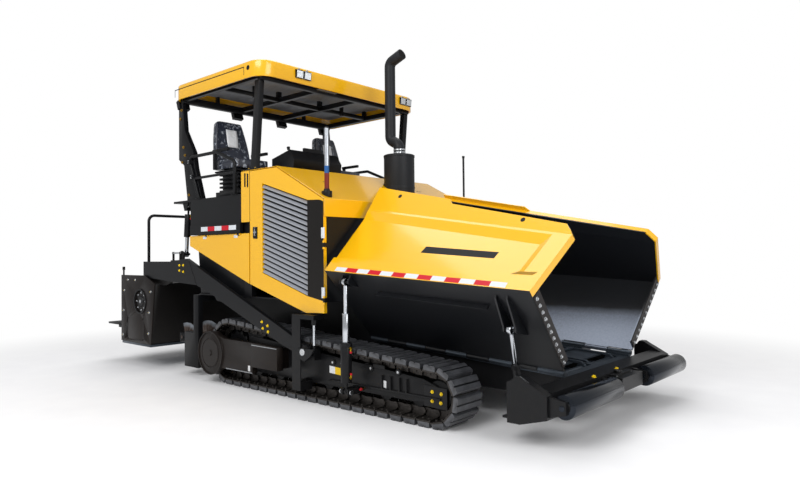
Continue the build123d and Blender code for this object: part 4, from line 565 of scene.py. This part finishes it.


# ---- Front beam and push rollers ----
# Thick plate with two yellow-headed bolts in its top and thin bright strips along the end guards'
# sloping edges, and rollers ground bright by lorry tyres that turn in bearing rings with hexagon caps.
dark_chrome = bare_metal("roller_steel_dark_and_polished", "#30353D", "#1C1F24", 0.16, 0.12, metallic=0.8,
                         streak=(1, 0.15, 1))
ROLLER_SPOT = (3.278, 0.326)
for _, hand in SIDES:
    parts[f"push_roller_{hand}"].data.materials[0] = dark_chrome
mesh = bmesh.new()
for y in (-0.42, 0.02):
    bolt(mesh, (3.160, y, 0.413), (0.17, 0, 0.985), 0.024)
for side, _ in SIDES:
    for y in (0.292, 1.152):
        boss(mesh, side, ROLLER_SPOT, y, y + 0.006, 0.046, 0.044, 28, 2)
        boss(mesh, side, ROLLER_SPOT, y, y + 0.010, 0.016, sides=6, index=1)
    plate(mesh, [at(side, 2.966, 1.196, 0.5125), at(side, 3.165, 1.196, 0.3965),
                 at(side, 3.165, 1.210, 0.3965), at(side, 2.966, 1.210, 0.5125)], (0.0008, 0, 0.0012), 3)
piece("front_beam_bolts", mesh, "tractor", (yellow_head, bolt_steel, black_enamel, bright_edge),
      0.0008)


def slab(mesh, low, high, place=None, index=0):
    """A box between two corners, in its own axes."""
    xs, ys, zs = zip(low, high)
    points = [Vector((x, y, z)) for x in xs for y in ys for z in zs]
    shape(mesh, [place @ p for p in points] if place else points,
          ((0, 1, 3, 2), (4, 6, 7, 5), (0, 4, 5, 1), (2, 3, 7, 6), (0, 2, 6, 4), (1, 5, 7, 3)), index)


def upright(mesh, spot, low, high, radius, tip=None, sides=16, index=0):
    """A round post or disc that stands at a spot (x, y), from low to high."""
    rod(mesh, (*spot, low), (*spot, high), radius, tip, sides, index)


# Coupling block between the rollers: stepped black casting with three slots and a tow pin.
mesh = bmesh.new()
slab(mesh, (3.165, -0.17, 0.27), (3.232, 0.17, 0.40))
slab(mesh, (3.225, -0.125, 0.29), (3.262, 0.125, 0.385))
for y in (-0.095, -0.02, 0.055):
    slab(mesh, (3.262, y, 0.305), (3.266, y + 0.04, 0.37), index=1)
upright(mesh, (3.20, -0.05), 0.39, 0.412, 0.026, sides=20)
upright(mesh, (3.20, -0.05), 0.412, 0.424, 0.036, 0.03, 20)
for y in (-0.145, 0.145):
    for z in (0.295, 0.375):
        bolt(mesh, (3.232, y, z), (1, 0, 0), 0.02, 2)
piece("tow_coupling", mesh, "tractor", (black_enamel, matt_black, bolt_steel), 0.003)


# ---- Wing cylinders and struts ----
# Honed tubes with screwed gland nuts and wiper rings, ports with brass elbows and red caps, and
# plated pins with keeper plates. The rods are hard chrome.
def on_axis(ends, share, side, ahead=0.0):
    """A point part of the way along a cylinder, or ahead of it."""
    foot, head = [at(side, *p) for p in ends]
    return foot + (head - foot) * share + Vector((ahead, 0, 0))


def gland(mesh, centre, axis, radius, inner):
    """A gland nut with its wiper ring, round a cylinder's open end; inner is the rod's radius."""
    ring(mesh, centre - axis * 0.03, centre + axis * 0.001, radius + 0.006, radius - 0.004, 8)
    ring(mesh, centre, centre + axis * 0.004, radius - 0.001, inner + 0.0015, 32)


def port(mesh, spot, along):
    """A port boss, a brass elbow that turns along the tube, and its cap."""
    elbow = spot + Vector((0.012, 0, 0))
    rod(mesh, spot, spot + Vector((0.018, 0, 0)), 0.013, sides=6, index=1)
    rod(mesh, elbow, elbow + along * 0.028, 0.009, sides=10, index=1)
    rod(mesh, elbow + along * 0.026, elbow + along * 0.044, 0.012, 0.010, 10, 2)


def box_at(mesh, side, xs, ys, zs, index=0):
    """A box between pairs of x, y and z on the left side, or its mirror on the right."""
    low, high = sorted((side * ys[0], side * ys[1]))
    slab(mesh, (xs[0], low, zs[0]), (xs[1], high, zs[1]), index=index)


WING_CYLINDER = ((1.245, 1.268, 0.185), (1.245, 1.268, 1.150))
STRUT = ((2.826, 0.967, 0.238), (2.831, 1.100, 0.823))
LIFT = ((-1.570, 1.150, 1.960), (-1.620, 1.150, 1.420))
port_stuffs = (black_enamel, brass, red_cap)
for side, hand in SIDES:
    wing_way, strut_way, lift_way = [(on_axis(ends, 1, side) - on_axis(ends, 0, side)).normalized()
                                     for ends in (WING_CYLINDER, STRUT, LIFT)]
    mesh = bmesh.new()
    gland(mesh, on_axis(WING_CYLINDER, 0.443, side), wing_way, 0.050, 0.031)
    port(mesh, on_axis(WING_CYLINDER, 0.13, side, 0.048), wing_way)
    port(mesh, on_axis(WING_CYLINDER, 0.40, side, 0.048), -wing_way)
    piece(f"wing_cylinder_gland_{hand}", mesh, f"wing_barrel_{hand}", port_stuffs, 0.0012)

    mesh = bmesh.new()
    top = on_axis(WING_CYLINDER, 0.709, side)
    ring(mesh, top - wing_way * 0.002, top + wing_way * 0.005, 0.034, 0.0205, 32)
    piece(f"wing_stage_gland_{hand}", mesh, f"wing_stage_{hand}", (chrome,), 0.001)

    mesh = bmesh.new()
    gland(mesh, on_axis(STRUT, 0.545, side), strut_way, 0.030, 0.017)
    port(mesh, on_axis(STRUT, 0.16, side, 0.03), strut_way)
    piece(f"strut_gland_{hand}", mesh, f"strut_barrel_{hand}", port_stuffs, 0.0012)

    mesh = bmesh.new()
    port(mesh, on_axis(LIFT, 0.16, side, 0.05), lift_way)
    piece(f"lift_cylinder_port_{hand}", mesh, f"lift_barrel_{hand}", port_stuffs, 0.0012)

    # Pin heads and a keeper plate at the wing cylinder's foot.
    mesh = bmesh.new()
    foot = at(side, *WING_CYLINDER[0])
    for x in (-0.064, 0.064):
        rod(mesh, foot + Vector((x - 0.006, 0, 0)), foot + Vector((x + 0.006, 0, 0)), 0.022, sides=20)
    box_at(mesh, side, (1.290, 1.296), (1.256, 1.280), (0.150, 0.215), 1)
    piece(f"wing_cylinder_pin_{hand}", mesh, "tractor", (bolt_steel, black_enamel), 0.001)


# ---- Engine house ----
# Folded yellow sheet over the engine. Each door has a black panel ahead of its louvres, a black
# latch with a chrome handle, and hinge leaves of bright plate, as the flap behind it has.
chip_black = enamel("satin_brown_black_panel", "#100E0D", "#171412", "#2E2A26", 0.36)
seam_black = enamel("rubber_seam", "#0C0D0E", "#131415", "#3B3936", 0.6)
HOUSE_FACE = 1.212
for side, hand in SIDES:
    mesh = bmesh.new()
    patch_at(mesh, side, HOUSE_FACE, [(0.668, 1.002), (0.897, 0.962), (0.897, 1.893), (0.850, 1.912),
                                      (0.668, 1.921)], 0.0012)
    # Latch: a black dish with a chrome handle and its key barrel.
    patch_at(mesh, side, HOUSE_FACE, [(-0.196, 1.572), (-0.122, 1.568), (-0.122, 1.690), (-0.196, 1.694)],
             0.005)
    box_at(mesh, side, (-0.168, -0.150), (1.214, 1.224), (1.600, 1.672), 1)
    box_at(mesh, side, (-0.184, -0.134), (1.214, 1.222), (1.628, 1.644), 1)
    boss(mesh, side, (-0.159, 1.684), HOUSE_FACE + 0.004, HOUSE_FACE + 0.009, 0.006, sides=14, index=1)
    piece(f"door_trim_{hand}", mesh, f"door_{hand}", (chip_black, chrome), 0.0012)

    # Yellow skin of the rear pillar, and the pillar's two slots.
    mesh = bmesh.new()
    box_at(mesh, side, (-0.405, -0.4035), (1.10, HOUSE_FACE), (1.750, 2.287), 1)
    box_at(mesh, side, (-0.405, -0.2582), (HOUSE_FACE - 0.001, HOUSE_FACE + 0.0012), (1.750, 2.287), 1)
    for corners in (((-0.350, 2.125), (-0.325, 2.120), (-0.325, 2.265), (-0.350, 2.270)),
                    ((-0.302, 2.118), (-0.277, 2.113), (-0.277, 2.258), (-0.302, 2.263))):
        patch_at(mesh, side, HOUSE_FACE + 0.001, corners, 0.0012)
    piece(f"house_pillar_skin_{hand}", mesh, "tractor", (seam_black, yellow_enamel))

    # Hinge leaves of the door, with their knuckles, and of the flap.
    mesh = bmesh.new()
    for z in (1.041, 1.600):
        box_at(mesh, side, (0.868, 0.897), (HOUSE_FACE, HOUSE_FACE + 0.005), (z - 0.05, z + 0.05))
        upright(mesh, (0.900, side * (HOUSE_FACE - 0.002)), z - 0.052, z + 0.052, 0.0075, sides=14)
        bolts_at(mesh, side, HOUSE_FACE + 0.005, ((0.882, z - 0.03), (0.882, z + 0.03)), 0.009)
    piece(f"door_hinge_leaves_{hand}", mesh, f"door_{hand}", (tape_white,), 0.0008)
    mesh = bmesh.new()
    for x in (-1.116, -0.507):
        box_at(mesh, side, (x - 0.034, x + 0.034), (HOUSE_FACE, HOUSE_FACE + 0.004), (1.588, 1.618))
        bolts_at(mesh, side, HOUSE_FACE + 0.004, ((x - 0.02, 1.600), (x + 0.02, 1.600)), 0.009)
    piece(f"flap_hinge_leaves_{hand}", mesh, f"flap_{hand}", (tape_white,), 0.0008)

# Small lifting slots in the hood's slope.
mesh = bmesh.new()
SLOPE_TOP, SLOPE_FOOT = Vector((0.194, 0, 2.296)), Vector((0.912, 0, 1.922))
SLOT_WIDE = Vector((0, 0.03, 0))
down = (SLOPE_FOOT - SLOPE_TOP).normalized()
off = Vector((-down.z, 0, down.x))
for y in (-0.86, -0.815, 0.62, 0.665):
    corner = SLOPE_TOP + Vector((0, y, 0)) + down * 0.34
    plate(mesh, [corner, corner + down * 0.012, corner + down * 0.012 + SLOT_WIDE, corner + SLOT_WIDE],
          off * 0.0012)
piece("hood_trim", mesh, "tractor", (seam_black,))


# ---- Platform sides ----
# Plain black box sides with a strip of red and white reflective tape, and a tread plate floor
# of raised lozenges.
def tread(name, start, rows, columns, body, stuff):
    """Raised lozenges in crossed directions, from the first one's middle at start."""
    mesh = bmesh.new()
    for ix in range(rows):
        for iy in range(columns):
            x, y, z = start[0] + ix * 0.045, start[1] + iy * 0.0495, start[2]
            lean = 1 if (ix + iy) % 2 else -1
            shape(mesh, [(x - 0.014, y - lean * 0.014, z), (x + 0.0035, y - lean * 0.0035, z + 0.0025),
                         (x + 0.014, y + lean * 0.014, z), (x - 0.0035, y + lean * 0.0035, z + 0.0025)],
                  ((0, 1, 2, 3),))
    piece(name, mesh, body, (stuff,))


PLATFORM_FACE = 1.232
for side, hand in SIDES:
    mesh = bmesh.new()
    for i in range(5):
        x = -1.164 + i * 0.138
        patch_at(mesh, side, PLATFORM_FACE, oblong(x, 1.675, x + TAPE_LONG, 1.725), 0.0008, i % 2)
    piece(f"platform_reflectors_{hand}", mesh, "tractor", (tape_white, tape_red))
tread("platform_tread", (-1.76, -1.17, 2.054), 30, 48, "tractor", black_enamel)


# ---- Seats ----
# Foam cushions in navy vinyl under a creased clear film that is still on from the works, with a
# white paper slip on each backrest, on a steel pan with two armrests.
navy, tree, shader, place = surface("navy_vinyl_under_clear_film")
crease = noise(tree, place, 0.07, 6.0, Distortion=1.4)
vinyl = mix(tree, noise(tree, place, 0.004, 3.0), "#161B28", "#222A3C")
# The film's creases catch the light as thin pale streaks.
glint = remap(tree, crease, 0, 0.75, 0.56, 0.66)
folds = relief(tree, crease, 0.7, 0.008)
plug(tree, shader, {"Base Color": mix(tree, glint, vinyl, "#AEB6C2"), "Coat Normal": folds, "Normal": folds,
                    "Roughness": 0.5, "Coat Weight": 0.9, "Coat Roughness": 0.07})
white_sheet, tree, shader, place = surface("white_paper_slip")
crease = noise(tree, place, 0.09, 6.0, Distortion=1.0)
plug(tree, shader, {"Base Color": mix(tree, crease, "#C9CCD2", "#F2F3F5"),
                    "Normal": relief(tree, crease, 0.8, 0.01), "Roughness": 0.4})


def cushion(name, box, crown, seed):
    """A foam cushion that fills a box: crowned faces, soft edges, piped seams and small creases."""
    (x0, x1), (y0, y1), (z0, z1) = box
    mesh = bmesh.new()
    bmesh.ops.create_cube(mesh, size=2.0)
    bmesh.ops.subdivide_edges(mesh, edges=mesh.edges, cuts=11, use_grid_fill=True)
    half = Vector(((x1 - x0) / 2, (y1 - y0) / 2, (z1 - z0) / 2))
    middle = Vector(((x0 + x1) / 2, (y0 + y1) / 2, (z0 + z1) / 2))
    rng = random.Random(seed)
    phases = [(rng.uniform(0, 6.28), rng.uniform(14, 26)) for _ in range(4)]
    for vert in mesh.verts:
        p = vert.co.copy()
        # Squeeze the cube toward a rounded block; the faces keep a crown.
        away = [abs(v) for v in p]
        round_off = 1.0 - 0.07 * sum(v ** 6 for v in away) / 3
        q = Vector((p.x * half.x, p.y * half.y, p.z * half.z)) * round_off
        for k in range(3):
            others = [p[j] for j in range(3) if j != k]
            if away[k] > 0.99:
                q[k] -= math.copysign(crown * (1 - (1 - others[0] ** 2) * (1 - others[1] ** 2)), p[k])
                if 0.60 < abs(others[0]) < 0.68:
                    q[k] -= math.copysign(0.006, p[k])
        ripple = sum(math.sin(ph + f * (q.x + 0.7 * q.y + 1.3 * q.z)) for ph, f in phases) * 0.0012
        vert.co = middle + q * (1 + ripple)
    made = piece(name, mesh, "tractor", (navy,), angle=180)
    grow = made.modifiers.new("foam", "SUBSURF")
    grow.levels = grow.render_levels = 1
    return made


SLIP_ROWS, SLIP_COLUMNS = 8, 6
for side, hand in SIDES:
    y = side * 0.77
    base = cushion(f"seat_cushion_{hand}", ((-1.278, -0.792), (y - 0.248, y + 0.248), (2.389, 2.528)), 0.016,
                   3 + side)
    if side == 1:
        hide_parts("seats")
    # The backrest narrows toward its top and leans back by 11 degrees.
    lean = Matrix.Translation((-1.215, y, 2.49)) @ Matrix.Rotation(math.radians(-11.0), 4, "Y")
    back = cushion(f"seat_back_{hand}", ((-0.062, 0.050), (-0.246, 0.246), (-0.055, 0.545)), 0.014, 11 + side)
    for vert in back.data.vertices:
        rise = (vert.co.z + 0.055) / 0.6
        vert.co.y *= 1.0 - 0.42 * max(0.0, rise - 0.25) ** 1.3
        vert.co.x -= 0.012 * math.cos(vert.co.y * 9)
    back.data.transform(lean)

    # Paper slip on the front of the backrest, and the steel pan and arms.
    mesh = bmesh.new()
    grid = []
    for i in range(SLIP_ROWS + 1):
        for j in range(SLIP_COLUMNS + 1):
            b, c = j / SLIP_COLUMNS - 0.5, i / SLIP_ROWS
            wave = 0.003 * math.sin(9 * b + 5 * c) + 0.002 * math.sin(23 * b - 8 * c)
            grid.append(lean @ Vector((0.050 + wave, 0.15 * b, 0.20 + 0.22 * c)))
    corners = [i * (SLIP_COLUMNS + 1) + j for i in range(SLIP_ROWS) for j in range(SLIP_COLUMNS)]
    shape(mesh, grid, [(k, k + 1, k + SLIP_COLUMNS + 2, k + SLIP_COLUMNS + 1) for k in corners])
    slip = piece(f"seat_paper_slip_{hand}", mesh, "tractor", (white_sheet,), angle=180)
    slip.modifiers.new("thick", "SOLIDIFY").thickness = 0.003
    mesh = bmesh.new()
    slab(mesh, (-1.27, y - 0.215, 2.372), (-0.82, y + 0.215, 2.392))
    for edge in (-1, 1):
        low, high = sorted((y + edge * 0.252, y + edge * 0.285))
        slab(mesh, (-1.21, low, 2.60), (-0.90, high, 2.635))
        slab(mesh, (-1.20, low, 2.40), (-1.16, high, 2.61))
    piece(f"seat_pan_and_arms_{hand}", mesh, "tractor", (plastic,), 0.006)


# ---- Console ----
# Moulded desk with a sloping keypad of unlettered keys, two levers in rubber boots, a steering
# knob and a small screen in a hood.
screen_glass, tree, shader, place = surface("dark_screen_glass")
plug(tree, shader, {"Base Color": mix(tree, noise(tree, place, 0.03, 4.0), "#0A0D10", "#12171B"),
                    "Roughness": 0.08})
grey_key = enamel("grey_silicone_keys", "#6D7178", "#5C6066", "#4A4945", 0.55)
mesh = bmesh.new()
slab(mesh, (-0.88, -0.40, 2.552), (-0.58, 0.30, 2.572))
for ix in range(5):
    for iy in range(12):
        x, y = -0.86 + ix * 0.05, -0.37 + iy * 0.05
        slope = (x + 0.88) * 0.22
        slab(mesh, (x, y, 2.570 + slope), (x + 0.03, y + 0.032, 2.596 + slope), index=1)
for y in (-0.31, 0.21):
    upright(mesh, (-0.72, y), 2.60, 2.65, 0.030, 0.014, 18)
    rod(mesh, (-0.72, y, 2.645), (-0.730, y, 2.672), 0.006, sides=10, index=3)
    rod(mesh, (-0.730, y, 2.668), (-0.735, y, 2.705), 0.017, 0.021)
slab(mesh, (-0.60, -0.20, 2.60), (-0.565, 0.06, 2.685))
slab(mesh, (-0.604, -0.18, 2.615), (-0.600, 0.04, 2.675), index=2)
upright(mesh, (-0.80, 0.12), 2.60, 2.63, 0.055, 0.05, 28)
upright(mesh, (-0.80, 0.14), 2.63, 2.672, 0.013, 0.016, 14)
for y in (-0.40, 0.30):
    for z in (2.44, 2.50):
        bolt(mesh, (-0.60, y, z), (0, math.copysign(1, y), 0), 0.010, 3)
piece("console_controls", mesh, "tractor", (plastic, grey_key, screen_glass, bolt_steel),
      0.003)


# ---- Handrails ----
# Bent tube painted black, in clamps with two bolts on the posts, and foot flanges on the floor.
RAIL_Y, CLAMP_FACE = 1.2043, 1.235
for side, hand in SIDES:
    mesh = bmesh.new()
    for x, z in ((-1.435, 2.50), (-1.375, 2.32)):
        box_at(mesh, side, (x - 0.03, x + 0.03), (1.182, CLAMP_FACE), (z - 0.022, z + 0.022))
        bolts_at(mesh, side, CLAMP_FACE, ((x, z - 0.012), (x, z + 0.012)), 0.010, 1)
    for x in (-1.238, -0.535):
        upright(mesh, (x, side * RAIL_Y), 2.055, 2.063, 0.042, sides=24)
    piece(f"handrail_clamps_{hand}", mesh, "tractor", (black_enamel, bolt_steel), 0.0015)


# ---- Canopy ----
# Glass-fibre roof in a yellow gel coat with a dark joint line and a round vent in its band, a
# grey ribbed liner under it, a blank grey plate, and square work lamps in black frames.
gel_liner = enamel("ribbed_grey_liner", "#85888D", "#74777C", "#5E5C57", 0.5)
lamp_glass, tree, shader, place = surface("work_lamp_lens")
ribs = add(tree, "TexWave", {"Vector": place, "Scale": 60.0}, bands_direction="Y").outputs["Fac"]
plug(tree, shader, {"Base Color": mix(tree, ribs, "#AEB6BE", "#E9EEF2"), "Roughness": 0.1, "Metallic": 0.4,
                    "Coat Weight": 0.8, "Normal": relief(tree, ribs, 0.4, 0.003)})


def work_lamp(mesh, centre, aim, wide, tall):
    """A square lamp in a black frame, of a half width and half height: housing, lens, screws, bracket."""
    turn = Matrix.Translation(centre) @ Vector(aim).normalized().to_track_quat("X", "Z").to_matrix().to_4x4()
    slab(mesh, (-0.055, -wide, -tall), (0.0, wide, tall), turn)
    slab(mesh, (-0.075, -wide * 0.6, -tall * 0.6), (-0.050, wide * 0.6, tall * 0.6), turn)
    slab(mesh, (0.0, -wide * 0.84, -tall * 0.82), (0.004, wide * 0.84, tall * 0.82), turn, 1)
    for y in (-wide * 0.92, wide * 0.92):
        for z in (-tall * 0.9, tall * 0.9):
            rod(mesh, turn @ Vector((0.0, y, z)), turn @ Vector((0.005, y, z)), 0.004, sides=8, index=2)
    slab(mesh, (-0.04, -0.012, tall), (-0.02, 0.012, tall + 0.02), turn, 2)


mesh = bmesh.new()
for y in (-0.74, -0.63, 0.96, 1.07):
    work_lamp(mesh, (0.010, y, 3.355), (1, 0, -0.12), 0.05, 0.045)
for y in (-1.13, -0.36, 0.36, 1.13):
    work_lamp(mesh, (-1.745, y, 3.215), (-1, 0, -0.35), 0.07, 0.055)
piece("canopy_work_lamps", mesh, "tractor", (black_enamel, lamp_glass, bolt_steel), 0.002)

# The joint line and the vents stand just proud of the band.
JOINT_LINE = (1.2495, 1.2508)
mesh = bmesh.new()
for side, _ in SIDES:
    box_at(mesh, side, (-1.70, -0.29), JOINT_LINE, (3.379, 3.389))
    for x in (-1.70, -0.298):
        box_at(mesh, side, (x, x + 0.008), JOINT_LINE, (3.300, 3.389))
    boss(mesh, side, (-0.22, 3.365), 1.2485, 1.2512, 0.026, sides=24)
# Blank grey plate under the front band, and the ribbed liner between the beams.
slab(mesh, (-0.120, -0.42, 3.262), (-0.050, -0.14, 3.266), index=1)
piece("canopy_band_trim", mesh, "tractor", (seam_black, gel_liner))
RIB = ((0.0, 3.398), (0.012, 3.390), (0.036, 3.390), (0.048, 3.398), (0.048, 3.402), (0.0, 3.402))
LINER_HALF = 1.19
mesh = bmesh.new()
for i in range(31):
    plate(mesh, [(-1.66 + i * 0.0515 + x, -LINER_HALF, z) for x, z in RIB], (0, 2 * LINER_HALF, 0))
piece("canopy_liner", mesh, "tractor", (gel_liner,))

# Gold bolts at the rear posts' folding joint and feet, and at the front posts' feet.
gold = bare_metal("yellow_chromate_bolts", "#C7A24A", "#9C7C2F", 0.3, 0.01)
POST_OUTSIDE, POST_INSIDE, FRONT_POST = 1.185, 1.125, (-0.238, 1.155)
JOINT_BOLTS = ((-1.650, 2.52), (-1.585, 2.60), (-1.47, 2.52), (-1.62, 2.70), (-1.66, 3.15), (-1.69, 3.05))
for side, hand in SIDES:
    mesh = bmesh.new()
    for face, way in ((POST_OUTSIDE, side), (POST_INSIDE, -side)):
        for x, z in JOINT_BOLTS:
            bolt(mesh, at(side, x, face, z), (0, way, 0), 0.022)
    for dx in (-0.055, 0.055):
        for dy in (-0.038, 0.038):
            bolt(mesh, at(side, FRONT_POST[0] + dx, FRONT_POST[1] + dy, 2.310), (0, 0, 1), 0.018)
    bolts_at(mesh, side, POST_OUTSIDE, ((-1.50, 2.12), (-1.30, 2.12), (-1.42, 2.32)), 0.022)
    piece(f"post_bolts_{hand}", mesh, "tractor", (gold,), 0.0008)


# ---- Exhaust ----
# Rolled drum with end bands, the pipe held at its foot by two bright worm clamps, and a dark
# bore in its turned mouth.
soot = enamel("soot_black", "#0A0A0B", "#131211", "#2A2826", 0.8)
PIPE = (0.520, 0.290)
ELBOW_END, MOUTH = Vector((0.390, 0.290, 3.620)), Vector((0.580, 0.290, 3.688))
mesh = bmesh.new()
for z in (2.14, 2.50):
    upright(mesh, PIPE, z, z + 0.024, 0.1785, sides=56)
upright(mesh, PIPE, 2.528, 2.536, 0.085, 0.075, 36)
for z in (2.548, 2.580):
    upright(mesh, PIPE, z, z + 0.016, 0.0645, sides=36, index=1)
    foot = Vector((*PIPE, z))
    slab(mesh, foot + Vector((0.055, -0.02, -0.002)), foot + Vector((0.082, 0.02, 0.018)), index=1)
    rod(mesh, foot + Vector((0.068, -0.032, 0.008)), foot + Vector((0.068, 0.032, 0.008)), 0.006, None, 10, 1)
piece("exhaust_clamps", mesh, "tractor", (exhaust_steel, bolt_steel), 0.0012)
mesh = bmesh.new()
blow = (MOUTH - ELBOW_END).normalized()
rod(mesh, MOUTH - blow * 0.001, MOUTH + blow * 0.0012, 0.052, sides=32)
piece("exhaust_bore", mesh, "tractor", (soot,))


# ---- Marker posts on the hood ----
# Aluminium tube in a rubber foot, its lower part in red-brown film and a blue band above that,
# and the far post's rubber cap.
aluminium = bare_metal("drawn_aluminium", "#C7CBD0", "#A5AAB0", 0.3, 0.02)
red_film = enamel("red_brown_film", "#7A2A22", "#6A241D", "#5B4038", 0.4)
blue_film = enamel("blue_film", "#2A5F9E", "#23528A", "#4A5460", 0.4)
NEAR_POST, FAR_POST = (0.835, -1.110), (0.835, 1.110)
mesh = bmesh.new()
for low, high, index in ((2.02, 2.17, 1), (2.17, 2.24, 2), (2.24, 2.60, 0)):
    upright(mesh, NEAR_POST, low, high, 0.0226, sides=24, index=index)
upright(mesh, NEAR_POST, 2.60, 2.616, 0.0235, 0.016, 24, 3)
upright(mesh, NEAR_POST, 1.995, 2.022, 0.034, 0.026, 24, 3)
upright(mesh, FAR_POST, 2.55, 2.575, 0.016, sides=18, index=3)
piece("marker_post_films", mesh, "tractor", (aluminium, red_film, blue_film, rubber), 0.0008)


# ---- Tow arms and tow points ----
# Deep plate beams with yellow bolts in fours, a bracket with a hose clip on the hump, a bright
# pin at the tow point and a chrome rod for the levelling cylinder.
ARM_FACE, TOW_POINT = 1.270, (0.681, 0.482)
for side, hand in SIDES:
    mesh = bmesh.new()
    bolts_at(mesh, side, ARM_FACE, ((-1.570, 1.290), (-1.485, 1.290), (-1.570, 1.227), (-1.485, 1.215),
                                    (0.024, 0.723), (0.116, 0.690), (0.040, 0.660), (0.125, 0.630)), 0.019)
    boss(mesh, side, TOW_POINT, ARM_FACE, ARM_FACE + 0.008, 0.052, 0.050, 36, 2)
    # Weld bead between the arm's rear half and its front half.
    patch_at(mesh, side, ARM_FACE, [(-1.21, 1.068), (-1.20, 1.068), (-1.36, 1.338), (-1.37, 1.338)], 0.003, 2)
    # Bracket on the hump, with its clip.
    box_at(mesh, side, (-1.793, -1.55), (1.232, 1.260), (1.334, 1.350), 2)
    for x in (-1.76, -1.60):
        box_at(mesh, side, (x, x + 0.02), (1.236, 1.256), (1.350, 1.449), 2)
    rod(mesh, at(side, -1.77, 1.246, 1.435), at(side, -1.57, 1.246, 1.435), 0.010, sides=12, index=1)
    piece(f"tow_arm_fittings_{hand}", mesh, "screed", (yellow_head, bolt_steel, screed_enamel),
          0.001)

    mesh = bmesh.new()
    boss(mesh, side, TOW_POINT, 1.298, 1.303, 0.034, 0.031, 32)
    upright(mesh, (0.800, side * 1.250), 0.55, 0.782, 0.0135, sides=20, index=1)
    upright(mesh, (0.800, side * 1.250), 0.74, 0.788, 0.026, sides=6, index=2)
    piece(f"tow_point_fittings_{hand}", mesh, "tractor", (bolt_steel, chrome, black_enamel),
          0.001)


# ---- Screed ----
# Brown-black plates with bolts that carry yellow paint dots, a glossy ring round each end port
# with the vibrator's drive behind it, levers, valve blocks with coloured caps, and a tread step.
def round_spot(centre, radius, share):
    """A spot on a circle round a centre, a share of the way round."""
    angle = 2 * math.pi * share
    return centre[0] + radius * math.cos(angle), centre[1] + radius * math.sin(angle)


blue_cap = enamel("blue_cap_plastic", "#1F5FA8", "#1A5293", "#4A5460", 0.35)
parts["screed_ends"].data.materials[0] = brown_black
SCREED_FACE, END_PORT, PORT_SIDES, TOP_PLATE = 1.300, (-2.479, 0.830), 36, 1.110
mesh = bmesh.new()
for side, _ in SIDES:
    for i in range(PORT_SIDES):
        corners = [round_spot(END_PORT, radius, k / PORT_SIDES)
                   for radius, k in ((0.158, i), (0.158, i + 1), (0.141, i + 1), (0.141, i))]
        patch_at(mesh, side, SCREED_FACE - 0.001, corners, 0.009, 3)
    bolts_at(mesh, side, 1.284, [round_spot(END_PORT, 0.112, i / 8) for i in range(8)], 0.016)
    boss(mesh, side, END_PORT, 1.283, 1.294, 0.07, 0.06, 32, 3)
    boss(mesh, side, END_PORT, 1.290, 1.300, 0.024, sides=6)
    spots = ((-2.20, 0.96), (-2.24, 0.70), (-2.26, 0.44), (-2.90, 0.96), (-2.92, 0.70), (-2.94, 0.38),
             (-2.60, 1.10), (-2.80, 1.10))
    bolts_at(mesh, side, SCREED_FACE, spots, 0.020)
    for spot in spots:
        boss(mesh, side, spot, SCREED_FACE + 0.012, SCREED_FACE + 0.0132, 0.005, sides=10, index=1)
    # Lever and its socket at the rear corner.
    upright(mesh, (-2.972, side * 1.275), 0.842, 1.235, 0.011, sides=14, index=2)
    upright(mesh, (-2.972, side * 1.275), 1.225, 1.267, 0.018, 0.016, 18, 2)
    box_at(mesh, side, (-2.985, -2.955), (1.262, 1.288), (0.80, 0.86), 2)
# Valve blocks on the top plate, with ports in three colours.
for y in (-1.05, -0.35, 0.35, 1.05):
    slab(mesh, (-2.62, y - 0.09, 1.108), (-2.50, y + 0.09, 1.175), index=2)
    for dy, index in ((-0.055, 4), (0.0, 5), (0.055, 6)):
        upright(mesh, (-2.56, y + dy), 1.175, 1.198, 0.013, sides=6)
        upright(mesh, (-2.56, y + dy), 1.196, 1.222, 0.015, 0.013, 16, index)
for y in (-1.2, -0.8, -0.4, 0.0, 0.4, 0.8, 1.2):
    for x in (-2.42, -2.86):
        bolt(mesh, (x, y, TOP_PLATE), (0, 0, 1), 0.022)
piece("screed_fittings", mesh, "screed",
      (bolt_steel, yellow_head, screed_enamel, black_enamel, red_cap, blue_cap, tape_white),
      0.0012)
tread("screed_step_tread", (-3.335, -1.27, 0.524), 7, 52, "screed", screed_enamel)


# ---- Augers ----
# Flights worn bright at the rim by the mix, over rusty roots.
auger_steel, tree, shader, place = surface("auger_worn_steel_and_rust")
AUGER_AXIS = (-1.760, 0.420)                          # x and height
split = add(tree, "SeparateXYZ", {0: place}).outputs
flat = add(tree, "CombineXYZ", {0: calc(tree, "SUBTRACT", split["X"], AUGER_AXIS[0]),
                                2: calc(tree, "SUBTRACT", split["Z"], AUGER_AXIS[1])}).outputs[0]
radius = add(tree, "VectorMath", {0: flat}, operation="LENGTH").outputs["Value"]
rust = noise(tree, place, 0.05, 8.0)
rim = remap(tree, calc(tree, "MULTIPLY_ADD", rust, 0.06, radius), 0, 1, 0.135, 0.185)
plug(tree, shader, {"Base Color": mix(tree, rim, "#3A2C24", "#8A9097"), "Metallic": rim,
                    "Roughness": remap(tree, rust, 0.28, 0.6), "Normal": relief(tree, rust, 0.3, 0.002)})
for _, hand in SIDES:
    parts[f"auger_{hand}"].data.materials[0] = auger_steel
